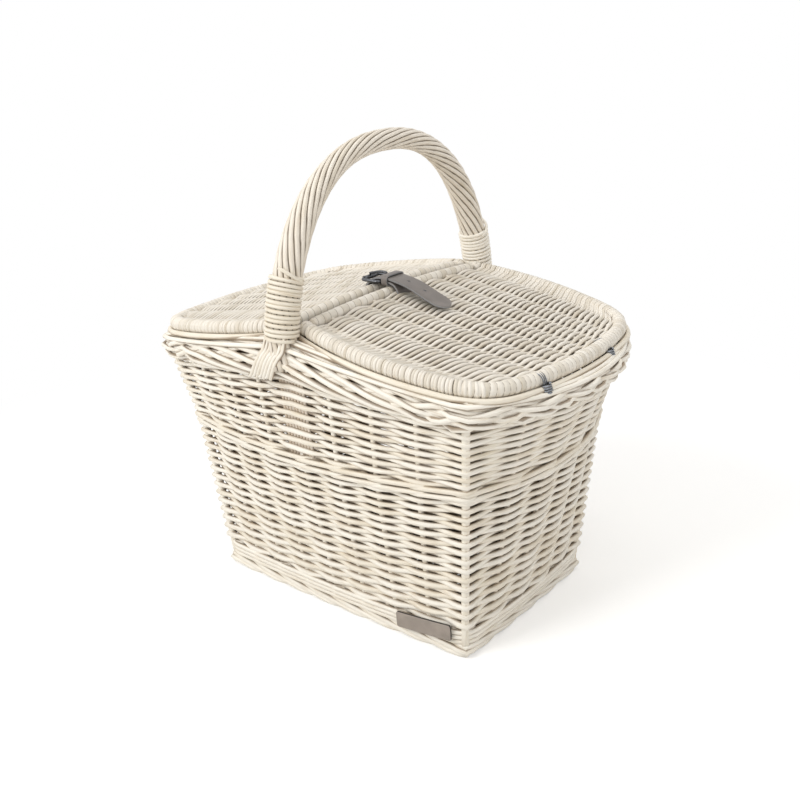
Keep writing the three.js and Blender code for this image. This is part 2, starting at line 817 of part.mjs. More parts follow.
function roundedRectangle(length, width, radius) {
  const shape = new THREE.Shape();
  const x = length / 2;
  const y = width / 2;
  shape.moveTo(x - radius, -y);
  shape.absarc(x - radius, -y + radius, radius, -Math.PI / 2, 0, false);
  shape.absarc(x - radius, y - radius, radius, 0, Math.PI / 2, false);
  shape.absarc(-x + radius, y - radius, radius, Math.PI / 2, Math.PI, false);
  shape.absarc(-x + radius, -y + radius, radius, Math.PI, 1.5 * Math.PI, false);
  shape.closePath();
  return shape;
}

// The prong lies over the strap, from the inner bar to the far bar, and its tip rests on that bar
function buckleProng() {
  const over = tailOverLevel + strapHalf + seat + prongWire / 2;
  const onBar = strapOverLevel + buckleWire / 2 + fit + prongWire / 2;
  const points = [
    [buckleInnerX, over],
    [mix(buckleInnerX, buckleFarX, 0.35), over + 0.2],
    [mix(buckleInnerX, buckleFarX, 0.75), mix(over, onBar, 0.6)],
    [buckleFarX - buckleWire / 2, onBar],
  ].map(([x, z]) => new THREE.Vector3(x, strapY, z));
  return rodAlong(points, prongWire, 6, 8);
}

// Loop that holds the tail down beside the buckle
function strapKeeper() {
  const low = strapOverLevel - strapHalf - seat;
  const high = tailOverLevel + strapHalf + seat;
  const corner = 0.8;
  const inner = roundedRectangle(strapWidth + 2 * seat, high - low, corner);
  const outline = roundedRectangle(
    strapWidth + 2 * seat + 2 * keeperThickness,
    high - low + 2 * keeperThickness,
    corner + keeperThickness,
  );
  outline.holes.push(inner);
  const keeper = new THREE.ExtrudeGeometry(outline, { depth: keeperWidth, curveSegments: 3, bevelEnabled: false });
  keeper.rotateX(Math.PI / 2);
  keeper.rotateZ(Math.PI / 2);
  return keeper.translate(keeperX - keeperWidth / 2, strapY, (low + high) / 2);
}

// Bare leather tag, lying against the lower weave near the right front corner
function leatherTag() {
  const shape = roundedRectangle(tagLength, tagHeight, 1.5);
  const tag = new THREE.ExtrudeGeometry(shape, { depth: tagThickness, curveSegments: 3, bevelEnabled: false });
  const s = tagX / wallAt(tagLevel).halfLength;
  const here = wallPoint(0, s, tagLevel);
  const above = wallPoint(0, s, tagLevel + tagHeight);
  const normal = wallNormal(0, s, tagLevel);
  const lean = Math.atan2(here.y - above.y, tagHeight);
  const clear = wallThickness / 2 + waleBulge + seat;
  tag.rotateZ(THREE.MathUtils.degToRad(tagTilt));
  tag.rotateX(Math.PI / 2 + lean);
  tag.rotateZ(Math.atan2(normal.x, -normal.y));
  tag.translate(here.x + normal.x * clear, here.y + normal.y * clear, here.z);
  return tag;
}

// Base: a woven mat on stout sticks, inside the foot border

function baseStickY(k) {
  const spread = footHalfWidth - footBorderWidth;
  return (2 * spread * (k + 0.5)) / baseStickCount - spread;
}

function baseStick(k, diameter, length) {
  const geometry = new THREE.CylinderGeometry(diameter / 2, diameter / 2, length, 6);
  geometry.rotateZ(Math.PI / 2);
  geometry.translate(0, baseStickY(k), baseMatLevel + baseMatThickness / 2);
  return geometry;
}

const footInner = footBorderWidth / 2 - 1;

function baseMat() {
  const inset = footInner + fit;
  const outline = new THREE.Shape(stationsRound().map((station) => {
    const point = wallPoint(station.edge, station.s, 0).addScaledVector(outwardAt(station, 0), -inset);
    return new THREE.Vector2(point.x, point.y);
  }));
  const mat = new THREE.ExtrudeGeometry(outline, { depth: baseMatThickness - fit, bevelEnabled: false });
  mat.translate(0, 0, baseMatLevel);
  return mat;
}

function footBorder() {
  const inner = -footInner;
  const outer = footBorderWidth + inner;
  return band([
    [inner, footHeight - fit],
    [inner, 0],
    [outer - 1.5, 0],
    [outer, footHeight * 0.35],
    [outer - 1, footHeight * 0.75],
    [outer - 3, footHeight - fit],
  ]);
}

// Building the pieces

const bow = handleBow(0, fit);
const bowRoom = handleBow(fit, -cutterOverrun);
const stakes = stakePlaces();
const posts = [0, 1, 2, 3].map((edge) => ({ edge, s: -1 }));
const wallRoom = [
  ...stakes.map(({ edge, s }) => stake(edge, s, stakeDiameter + 2 * fit, -cutterOverrun)),
  ...posts.map(({ edge, s }) => stake(edge, s, cornerPostDiameter + 2 * fit, -cutterOverrun)),
];

const bottomWaleTop = footHeight + bottomWaleHeight;
const midWaleLow = waistLevel - midWaleHeight / 2;
const midWaleTop = waistLevel + midWaleHeight / 2;

addPiece('foot_border', footBorder(), whiteWillow);
addPiece('bottom_wale', cut(band(waleProfile(footHeight, bottomWaleHeight - fit)), wallRoom), whiteWillow);
addPiece('lower_weave', cut(band(weaveProfile(bottomWaleTop, midWaleLow - fit)), wallRoom), whiteWillow);
addPiece('mid_wale', cut(band(waleProfile(midWaleLow, midWaleHeight - fit)), wallRoom), whiteWillow);
addPiece('upper_weave', cut(band(weaveProfile(midWaleTop, rimLevel - fit)), [...wallRoom, bowRoom]), whiteWillow);

const rings = [
  { name: 'front_right_hinge_ring', y: frontRingY, mirror: false },
  { name: 'back_right_hinge_ring', y: backRingY, mirror: false },
  { name: 'front_left_hinge_ring', y: frontRingY, mirror: true },
  { name: 'back_left_hinge_ring', y: backRingY, mirror: true },
];
const slots = rings.map(({ y, mirror }) => (mirror ? mirrorX(ringSlot(y)) : ringSlot(y)));
const troughs = [endTrough(), mirrorX(endTrough())];
addPiece('rim_border', cut(rimBorder(), [bowRoom, ...slots, ...troughs]), whiteWillow);

addPiece('base_mat', cut(
  baseMat(),
  Array.from({ length: baseStickCount }, (_, k) => baseStick(k, baseStickDiameter + 2 * fit, 3 * footHalfLength)),
), whiteWillow);
for (let k = 0; k < baseStickCount; k += 1) {
  const length = 2 * (footHalfLength - footInner - fit);
  addPiece(`base_stick_${k + 1}`, baseStick(k, baseStickDiameter, length), whiteWillow);
}

const postNames = ['front_left_corner_post', 'front_right_corner_post', 'back_right_corner_post', 'back_left_corner_post'];
posts.forEach(({ edge, s }, i) => addPiece(postNames[i], stake(edge, s, cornerPostDiameter, fit), whiteWillow));
const wallNames = ['front_stake', 'right_end_stake', 'back_stake', 'left_end_stake'];
const stakeCounts = [0, 0, 0, 0];
stakes.forEach(({ edge, s }) => {
  stakeCounts[edge] += 1;
  addPiece(`${wallNames[edge]}_${stakeCounts[edge]}`, stake(edge, s, stakeDiameter, fit), whiteWillow);
});

addPiece('handle_bow', bow, whiteWillow);
addPiece('handle_rods', cut(twistedRods(), [bowRoom]), whiteWillow);
addPiece('front_handle_binding', binding('front_handle_binding', frontBindingTurns, false), whiteWillow);
addPiece('back_handle_binding', binding('back_handle_binding', backBindingTurns, true), whiteWillow);
addPiece('front_handle_tails', handleTails(0), whiteWillow);
addPiece('back_handle_tails', handleTails(2), whiteWillow);

const panel = cut(lidPanel(), [strapGate(), ringNotch(frontRingY), ringNotch(backRingY)]);
addPiece('right_lid_hoop', lidHoop(), lidWillow);
addPiece('right_lid_mid_bar', lidMidBar(), lidWillow);
addPiece('right_lid_weave', panel, lidWillow);
addPiece('left_lid_hoop', mirrorX(lidHoop()), lidWillow);
addPiece('left_lid_mid_bar', mirrorX(lidMidBar()), lidWillow);
addPiece('left_lid_weave', mirrorX(panel), lidWillow);
for (const { name, y, mirror } of rings) {
  const ring = hingeRing(name, y);
  addPiece(name, mirror ? mirrorX(ring) : ring, hingeWire);
}

addPiece('strap', strap(), strapLeather);
addPiece('strap_keeper', strapKeeper(), strapLeather);
addPiece('buckle_frame', buckleFrame(), darkNickel);
addPiece('buckle_prong', buckleProng(), darkNickel);
addPiece('leather_tag', leatherTag(), tagLeather);

export default basket;
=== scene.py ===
"""Looks of a whitewashed willow picnic basket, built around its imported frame.

Sizes in this file are in millimetres unless a name or a property says otherwise, and a finished
piece is in metres in the frame's own axes: X along the basket, Y from front to back, Z up.
"""
import math
import random

import bmesh
import bpy
import numpy as np
from bpy.props import FloatProperty, FloatVectorProperty, IntProperty, PointerProperty
from mathutils import Matrix, Vector


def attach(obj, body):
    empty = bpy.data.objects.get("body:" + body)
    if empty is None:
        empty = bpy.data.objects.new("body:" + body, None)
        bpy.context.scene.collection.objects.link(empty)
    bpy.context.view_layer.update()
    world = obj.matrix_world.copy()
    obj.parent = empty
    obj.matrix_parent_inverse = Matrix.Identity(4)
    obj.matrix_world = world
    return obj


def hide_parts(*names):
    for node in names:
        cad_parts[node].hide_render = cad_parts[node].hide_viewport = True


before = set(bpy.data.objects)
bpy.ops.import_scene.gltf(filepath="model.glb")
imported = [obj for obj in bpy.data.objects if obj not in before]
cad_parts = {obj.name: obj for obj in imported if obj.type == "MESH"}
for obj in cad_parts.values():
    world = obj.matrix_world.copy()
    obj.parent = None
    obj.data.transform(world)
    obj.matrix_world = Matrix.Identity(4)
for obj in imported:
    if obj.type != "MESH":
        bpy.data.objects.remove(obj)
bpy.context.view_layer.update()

bl_info = {
    "name": "Willow picnic basket",
    "version": (1, 0, 0),
    "blender": (4, 5, 0),
    "location": "3D View > Sidebar > Basket",
    "description": "Builds the woven walls, lids, handle and strap of a picnic basket",
    "category": "Object",
}

MM = 0.001

# Plan of the wall, to its middle, at the foot, the waist and the rim
FOOT = {"level": 0.0, "half_length": 134.0, "half_width": 84.5, "end_bow": 1.0, "side_bow": 2.0}
WAIST = {"level": 155.0, "half_length": 147.0, "half_width": 97.5, "end_bow": 23.5, "side_bow": 22.0}
RIM = {"level": 214.0, "half_length": 157.5, "half_width": 110.5, "end_bow": 34.0, "side_bow": 16.5}
RIM_RISE = 15.0
WALL_HALF = 5.6
SIDE_SPACES = 8
END_SPACES = 5
FOOT_TOP = 12.0
BOTTOM_WALE_TOP = 26.0
MID_WALE_LOW = 149.3
MID_WALE_TOP = 160.7
# Over this length beside a corner the wall's outward direction turns to the corner's own
CORNER_TURN = 7.0

# Weave of the body. The rows start and end a little inside the wales, and pitches are the lowest
# and the highest row's. A corner_offset is how far out a wale passes the corner posts
LOWER_ROWS = {"low": BOTTOM_WALE_TOP - 2.0, "high": MID_WALE_LOW + 1.0, "pitches": (4.9, 3.5)}
UPPER_ROWS = {"low": MID_WALE_TOP - 1.5, "high": RIM["level"], "pitches": (3.2, 3.1)}
ROW_STEPS = 8
MID_WALE = {"low": MID_WALE_LOW, "high": MID_WALE_TOP, "diameter": 4.5, "courses": 2,
            "corner_offset": 5.0}
BOTTOM_WALE = {"low": FOOT_TOP, "high": BOTTOM_WALE_TOP, "diameter": 4.3, "courses": 3,
               "corner_offset": 0.4}
WALE_PROUD = 1.3
FOOT_BORDER_HALF_WIDTH = 6.2
POST = 6.6
POST_OFFSET = 1.6
STAKE = 4.8
BASE = {"level": 8.0, "rows": 64, "rows_reach": 126.0, "wave": 2.9, "weaver": 3.9, "sticks": 5,
        "stick_spacing": 28.8, "sticks_reach": 128.0, "stick": 5.0}

# Lids, to the middle of their frame rods
LID_MID_X = 9.0
LID_CORNER_X = 170.5
LID_END_BOW = 16.0
LID_MID_HALF_WIDTH = 115.0
LID_END_HALF_WIDTH = 105.0
LID_SIDE_BOW = 14.0
LID_CORNER_CUT = 24.0
LID_END_LEVEL = 241.0
LID_MID_LEVEL = 268.5
LID_CROWN = 5.0
LID_ROD_RADIUS = 5.3
RING_YS = (-54.0, 42.0)
LID_STICKS = 8
LID_STICK = 3.8
LID_HOOP = 4.6
LID_ROW_STEPS = 7
# A row goes over to its turn round the frame rod this share of a space from the rod's middle
LID_ROW_START = 0.42
LID_WRAP_RADIUS = 4.9
HOOP_START_X = 3.7
HOOP_SIDE_POINTS = 24
HOOP_CORNER_POINTS = 10
HOOP_END_POINTS = 13
MID_BAR_HALF_LENGTH = 109.3
# Windings of flat skein: radius, height of a turn's crown, and how dark the seams between turns are made, as
# bark in painted shade
END_SKEIN = {"radius": 6.1, "crown": 0.6, "seam_bark_and_shade": 1.0}
MID_SKEIN = {"radius": LID_ROD_RADIUS, "crown": 0.45, "seam_bark_and_shade": 0.9}
CORNER_SKEIN = {"radius": 6.2, "crown": 0.8, "seam_bark_and_shade": 1.0}
CORNER_SKEIN_PITCH = 4.2
# The end winding goes this far in from the lid's corners, and the corner windings up to this x
END_BAR_REACH = 23.0
CORNER_SKEIN_REACH = 21.0

# Handle arch in the plane x = 0
HANDLE_HALF_SPAN = 136.0
HANDLE_SPRING_LEVEL = 230.0
HANDLE_TOP_LEVEL = 399.0
HANDLE_FOOT_LEVEL = 263.2
BINDING_RADIUS = 12.7
BINDING_PITCH = 3.15
BINDING_INWARD = 1.4
BINDING_SKEIN = 3.1
TUCKED_SKEIN = 2.8
TAILS = 7
TAIL_ROD = 3.6
TAIL_SPACING = 3.8
LINERS = 8
LINER_ROD = 3.3
LINER_SPACING = 3.4
BUNDLE_Y = 133.0
# The twist starts this much before the binding, and its legs are set inward
FOOT_TUCK = 0.12
LEG_INWARD = 2.2
HANDLE_RISE = HANDLE_TOP_LEVEL - HANDLE_SPRING_LEVEL
ARCH_FULLNESS = 1.13
FOOT_ANGLE = math.asin(((HANDLE_FOOT_LEVEL - HANDLE_SPRING_LEVEL) / HANDLE_RISE) ** ARCH_FULLNESS)

# Rim border: the middle of its section lies this far outside the wall's
BORDER_OVERHANG = 4.0
BORDER_HALF_WIDTH = 11.0
BORDER_CLEARANCE = 0.4

# Hinge rings. The outline is one turn of the wire seen along y, from the middle of the end bar
RING_OUTLINE = ((-5.3, -1.9), (-5.2, 2.0), (-2.3, 5.1), (1.2, 5.45), (4.05, 3.8), (5.7, 0.7), (6.9, -4.0),
                (8.6, -8.6), (8.0, -12.2), (4.6, -13.6), (0.2, -11.0), (-3.6, -6.6))
RING_PITCH = 2.1
RING_TURNS = 3
RING_WIRE = 0.9
WAIST_TURNS = 4
WAIST_WIRE = 1.6

# Strap, buckle and tag
STRAP_Y = -3.0
STRAP_THICKNESS = 1.9
STRAP_HALF_WIDTH = 10.0
STRAP_POINT_LENGTH = 13.0
STRAP_TIP_X = 71.0
STRAP_LEVEL = 282.1
STRAP_BEND = 7.2
STRAP_HOLE_XS = (25.0, 43.5)
HOLE_RADIUS = 1.5
# From this x on the tail turns to the front, in the end by this share of its length
TAIL_TURN_X = 12.0
TAIL_TURN = 0.12
KEEPER = {"x": 6.0, "level": 283.6, "half_length": 3.0, "half_width": 11.4, "half_height": 4.1,
          "thickness": 1.4}
BUCKLE = {"x": -9.4, "half_length": 9.5, "half_width": 12.0, "corner": 3.5, "wire": 3.0, "bar": 4.2}
PRONG_LINE = ((0.6, 287.6), (-6.6, 288.0), (-14.4, 286.3), (-20.2, 284.9))
PRONG_WIRE = 2.2
TAG = {"x": 101, "level": 22, "half_length": 27, "half_height": 7.5, "corner": 1.5, "thickness": 2.0,
       "tilt": 5, "lean": -0.06, "offset": 8.8}


# Shape of the body


def mix(a, b, t):
    """a at t = 0, b at t = 1, and in proportion between."""
    return a + (b - a) * t


def wall_at(level):
    """Half sizes and bows of the wall's plan at a level."""
    low, high = (FOOT, WAIST) if level < WAIST["level"] else (WAIST, RIM)
    t = (level - low["level"]) / (high["level"] - low["level"])
    return {key: mix(low[key], high[key], t) for key in low}


def wall_point(edge, s, level, offset=0.0, corner_turn=0.0):
    """Point of the wall. Edges 0 to 3 are front, +X end, back and -X end, and s runs from -1 to 1.

    corner_turn is from 0 to 1 and turns the outward direction towards the corner's own."""
    wall = wall_at(level)
    turn = -1.0 if edge > 1 else 1.0
    bulge = 1.0 - s * s
    if edge % 2 == 0:
        x, y = wall["half_length"] * s, -(wall["half_width"] + wall["side_bow"] * bulge)
        normal = Vector((2 * wall["side_bow"] * s, -wall["half_length"], 0)).normalized()
    else:
        x, y = wall["half_length"] + wall["end_bow"] * bulge, wall["half_width"] * s
        normal = Vector((wall["half_width"], 2 * wall["end_bow"] * s, 0)).normalized()
    lift = 0.0
    if edge % 2 == 0 and level > WAIST["level"]:
        share = (level - WAIST["level"]) / (RIM["level"] - WAIST["level"])
        lift = RIM_RISE * (1 - abs(s)) * share
    if corner_turn:
        side = math.copysign(1.0, s)
        other = Vector((side, -1.0, 0)) if edge % 2 == 0 else Vector((1.0, side, 0))
        normal = normal.lerp(other.normalized(), corner_turn).normalized()
    return Vector((turn * (x + normal.x * offset), turn * (y + normal.y * offset), level + lift))


def stations():
    """The upright rods round the body, from the back left corner on: edge and s of each."""
    places = []
    for edge in (3, 0, 1, 2):
        spaces = SIDE_SPACES if edge % 2 == 0 else END_SPACES
        places += [(edge, 2 * k / spaces - 1) for k in range(spaces)]
    return places


STATIONS = stations()
STATION_COUNT = len(STATIONS)
# Share of the space to the next upright that the handle's own rods take up
GROUP_SHARE = 0.31


def along_wall(position):
    """Edge and s for a position counted in stations; whole numbers are the stations themselves."""
    index = int(math.floor(position)) % STATION_COUNT
    edge, s = STATIONS[index]
    spaces = SIDE_SPACES if edge % 2 == 0 else END_SPACES
    return edge, s + (position - math.floor(position)) * 2 / spaces


def corner_share(edge, s, level):
    """How near a place is to a corner: 1 on it, and 0 from CORNER_TURN away on."""
    wall = wall_at(level)
    half = wall["half_length"] if edge % 2 == 0 else wall["half_width"]
    return max(0.0, 1.0 - (1.0 - abs(s)) * half / CORNER_TURN)


def is_group(index, level):
    """Above the waist the handle's own rods stand beside each other at the middle of a long side."""
    edge, s = STATIONS[index % STATION_COUNT]
    return edge % 2 == 0 and abs(s) < 0.01 and level > MID_WALE_TOP


# Lids


def lid_end_x(y):
    """X of the lid's bowed end."""
    return LID_CORNER_X + LID_END_BOW * (1 - (y / LID_END_HALF_WIDTH) ** 2)


PIVOT_X = sum(lid_end_x(y) for y in RING_YS) / 2


def lid_share(x):
    """1 at the mid bar and 0 at the hinges."""
    return min(max((PIVOT_X - abs(x)) / (PIVOT_X - LID_MID_X), 0.0), 1.0)


def frame_level(x):
    """Level of the middle of the lids' frame rods."""
    return mix(LID_END_LEVEL, LID_MID_LEVEL, lid_share(x))


def lid_half_width(x):
    """Half width of a lid on its bowed sides, before its corners are rounded."""
    q = 1 - min(max((LID_CORNER_X - x) / (LID_CORNER_X - LID_MID_X), 0.0), 1.0)
    return mix(LID_MID_HALF_WIDTH, LID_END_HALF_WIDTH, q) + LID_SIDE_BOW * 4 * q * (1 - q)


def lid_level(x, y):
    """Level of a lid's middle surface, crowned towards the mid bar."""
    across = 1 - min((y / lid_half_width(abs(x))) ** 2, 1.0)
    return frame_level(x) + LID_CROWN * lid_share(x) * across


def on_lid(x, y, up=0.0):
    """Point of a lid's middle surface, or so far above it."""
    return Vector((x, y, lid_level(x, y) + up))


def hoop_half():
    """Plan of the frame rod from the mid bar to the middle of the end, on the front side."""
    side_end = LID_CORNER_X - LID_CORNER_CUT
    points = [Vector((x, -lid_half_width(max(x, LID_MID_X))))
              for x in np.linspace(HOOP_START_X, side_end, HOOP_SIDE_POINTS)]
    start = points[-1]
    corner = Vector((LID_CORNER_X, -LID_END_HALF_WIDTH))
    end_y = -(LID_END_HALF_WIDTH - LID_CORNER_CUT)
    end = Vector((lid_end_x(end_y), end_y))
    for t in np.linspace(0, 1, HOOP_CORNER_POINTS + 1)[1:]:
        points.append(start * (1 - t) ** 2 + corner * 2 * t * (1 - t) + end * t * t)
    return points + [Vector((lid_end_x(y), y)) for y in np.linspace(end_y, 0, HOOP_END_POINTS + 1)[1:]]


HOOP_HALF = hoop_half()
HOOP_LENGTHS = [0.0]
for before, after in zip(HOOP_HALF, HOOP_HALF[1:]):
    HOOP_LENGTHS.append(HOOP_LENGTHS[-1] + (after - before).length)
# The point in the middle of the corner
HOOP_CORNER = HOOP_SIDE_POINTS + HOOP_CORNER_POINTS // 2 - 1


def hoop_y(x):
    """Half width of the frame rod's middle at x, also round the corner."""
    xs = [p.x for p in HOOP_HALF]
    ys = [-p.y for p in HOOP_HALF]
    return float(np.interp(x, xs, ys))


# Rods: many round sections along paths, made as one curve object and turned into a mesh


class Rod:
    """One rod: its path, its thickness along the path, and whether it closes on itself."""

    def __init__(self, points, diameter, closed=False):
        self.points = [Vector(p) for p in points]
        self.diameters = diameter if isinstance(diameter, (list, tuple)) else [diameter] * len(points)
        self.closed = closed


def smooth_path(points, steps):
    """A soft line through the points, with a number of steps between each two."""
    last = len(points) - 1
    result = []
    for i in range(last):
        a, b, c, d = (points[min(max(i + k, 0), last)] for k in (-1, 0, 1, 2))
        for k in range(steps):
            t = k / steps
            result.append(0.5 * ((2 * b) + (c - a) * t + (2 * a - 5 * b + 4 * c - d) * t ** 2
                                 + (3 * b - a - 3 * c + d) * t ** 3))
    return result + [Vector(points[-1])]


def resample(points, spacing):
    """The same line with points at an even distance."""
    array = np.array([tuple(p) for p in points])
    lengths = np.concatenate([[0], np.cumsum(np.linalg.norm(np.diff(array, axis=0), axis=1))])
    count = max(int(round(lengths[-1] / spacing)), 2)
    at = np.linspace(0, lengths[-1], count + 1)
    return [Vector(tuple(np.interp(t, lengths, array[:, k]) for k in range(3))) for t in at]


def rods_mesh(name, rods, sides, seed):
    """Turns rods into one mesh, and stores on each point where it lies in its own straight rod."""
    data = bpy.data.curves.new(name, "CURVE")
    data.dimensions = "3D"
    data.bevel_mode = "ROUND"
    data.bevel_depth = 0.5 * MM
    data.bevel_resolution = (sides - 4) // 2
    for rod in rods:
        spline = data.splines.new("POLY")
        spline.points.add(len(rod.points) - 1)
        flat = np.ones((len(rod.points), 4), np.float32)
        flat[:, :3] = [tuple(p) for p in rod.points]
        flat[:, :3] *= MM
        spline.points.foreach_set("co", flat.ravel())
        spline.points.foreach_set("radius", np.array(rod.diameters, np.float32))
        spline.use_cyclic_u = rod.closed
        spline.use_smooth = True
    curve = bpy.data.objects.new(name, data)
    bpy.context.scene.collection.objects.link(curve)
    bpy.context.view_layer.update()
    graph = bpy.context.evaluated_depsgraph_get()
    mesh = bpy.data.meshes.new_from_object(curve.evaluated_get(graph))
    bpy.data.objects.remove(curve)
    bpy.data.curves.remove(data)
    mesh.name = name
    store_grain(mesh, rods, seed)
    if not all(rod.closed for rod in rods):
        bm = bmesh.new()
        bm.from_mesh(mesh)
        bmesh.ops.holes_fill(bm, edges=[edge for edge in bm.edges if edge.is_boundary], sides=0)
        bm.to_mesh(mesh)
        bm.free()
    return mesh


def store_grain(mesh, rods, seed):
    """Point attributes: grain is the place in the straight rod, tone a number from 0 to 1 per rod."""
    rings = [len(rod.points) for rod in rods]
    total = sum(rings)
    sides = len(mesh.vertices) // total
    if sides * total != len(mesh.vertices):
        raise RuntimeError(f"{mesh.name}: {len(mesh.vertices)} points don't match {total} rings")
    draw = random.Random(seed)
    grain = np.zeros((total, sides, 3), np.float32)
    tone = np.zeros((total, sides), np.float32)
    angle = 2 * np.pi * np.arange(sides) / sides
    first = 0
    for rod in rods:
        path = np.array([tuple(p) for p in rod.points]) * MM
        steps = np.linalg.norm(np.diff(path, axis=0), axis=1)
        run = np.concatenate([[0], np.cumsum(steps)])
        radius = np.array(rod.diameters)[:, None] * MM / 2
        last = first + len(rod.points)
        grain[first:last, :, 0] = run[:, None] + draw.uniform(0, 8)
        grain[first:last, :, 1] = radius * np.cos(angle) + draw.uniform(0, 1)
        grain[first:last, :, 2] = radius * np.sin(angle)
        tone[first:last] = draw.random()
        first = last
    attribute = mesh.attributes.new("grain", "FLOAT_VECTOR", "POINT")
    attribute.data.foreach_set("vector", grain.ravel())
    attribute = mesh.attributes.new("tone", "FLOAT", "POINT")
    attribute.data.foreach_set("value", tone.ravel())


def coordinates(mesh):
    """The places of a mesh's points, in metres."""
    points = np.zeros(len(mesh.vertices) * 3, np.float64)
    mesh.vertices.foreach_get("co", points)
    return points.reshape(-1, 3)


def store_bare_and_shade(mesh, values):
    """Point attribute of bare rod and painted shade: 1 where a rod is turned away, so the wash is thin and
    the bark shows, darkened with painted shade.
    """
    attribute = mesh.attributes.new("bare", "FLOAT", "POINT")
    attribute.data.foreach_set("value", np.clip(values, 0, 1).astype(np.float32))


# A rod's side counts as turned to the next rod below this share of its radius, with a soft edge; there
# painted shade darkens the seam between the rods
SEAM_FACING = 0.68
SEAM_FADE = 0.3


def store_wash_and_shade(mesh, rods, depth, start, width, seam_bark_and_shade):
    """Stores bare rod and painted shade for rods washed from outside.

    depth(points) is how deep points lie in the weave, in millimetres. The wash thins out from
    start over width, and, as strongly as seam says, on the sides of each rod towards the next.
    Both show as bark darkened with painted shade, in the hollows and the seams between rods."""
    points = coordinates(mesh)
    rings = np.array([tuple(point) for rod in rods for point in rod.points]) * MM
    radii = np.array([diameter / 2 for rod in rods for diameter in rod.diameters])
    sides = len(points) // len(rings)
    own = depth(points)
    facing = (np.repeat(depth(rings), sides) - own) / np.repeat(radii, sides)
    store_bare_and_shade(mesh, np.maximum((own - start) / width, seam_bark_and_shade * (SEAM_FACING - facing) / SEAM_FADE))


def wall_offset(points):
    """How far points lie outside the wall's middle, in millimetres."""
    x, y, z = (points / MM).T
    level = np.maximum(z, 0)
    t_low = level / WAIST["level"]
    t_high = (level - WAIST["level"]) / (RIM["level"] - WAIST["level"])
    size = {}
    for key in ("half_length", "half_width", "end_bow", "side_bow"):
        low = mix(FOOT[key], WAIST[key], t_low)
        high = mix(WAIST[key], RIM[key], np.minimum(t_high, 1))
        size[key] = np.where(level < WAIST["level"], low, high)
    s_side = np.clip(x / size["half_length"], -1, 1)
    s_end = np.clip(y / size["half_width"], -1, 1)
    side = np.abs(y) - (size["half_width"] + size["side_bow"] * (1 - s_side ** 2))
    end = np.abs(x) - (size["half_length"] + size["end_bow"] * (1 - s_end ** 2))
    outside = np.hypot(np.maximum(side, 0), np.maximum(end, 0))
    return np.where(outside > 0, outside, np.maximum(side, end))


def below_wall(points):
    """How deep points in metres lie inside the wall's middle, in millimetres."""
    return -wall_offset(points)


def make_piece(name, mesh, look, body, nodes=()):
    """Makes a mesh a piece that rides on a body and stands for the nodes it replaces."""
    piece = bpy.data.objects.new(name, mesh)
    bpy.context.scene.collection.objects.link(piece)
    mesh.materials.clear()
    mesh.materials.append(finish_of(look))
    mesh.polygons.foreach_set("use_smooth", np.ones(len(mesh.polygons), bool))
    mesh.update()
    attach(piece, body)
    if nodes:
        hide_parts(*nodes)
    return piece


# Materials


def linear(code):
    """sRGB hex colour to linear, with alpha."""
    values = [int(code[i:i + 2], 16) / 255 for i in (1, 3, 5)]
    return tuple(v / 12.92 if v <= 0.04045 else ((v + 0.055) / 1.055) ** 2.4 for v in values) + (1.0,)


WHITE = linear("#FFFFFF")


def scaled(colour, share):
    """A linear colour made lighter or darker."""
    return tuple(min(c * share, 1.0) for c in colour[:3]) + (1.0,)


def add_node(tree, kind, sockets=None, **settings):
    """Adds a shader node with its settings, and sets or links the input sockets that are named."""
    node = tree.nodes.new(kind)
    for key, value in settings.items():
        setattr(node, key, value)
    for key, value in (sockets or {}).items():
        if isinstance(value, bpy.types.NodeSocket):
            tree.links.new(value, node.inputs[key])
        else:
            node.inputs[key].default_value = value
    return node


def new_material(name):
    """A material without nodes, and its tree."""
    material = bpy.data.materials.new(name)
    material.use_nodes = True
    tree = material.node_tree
    tree.nodes.clear()
    return material, tree


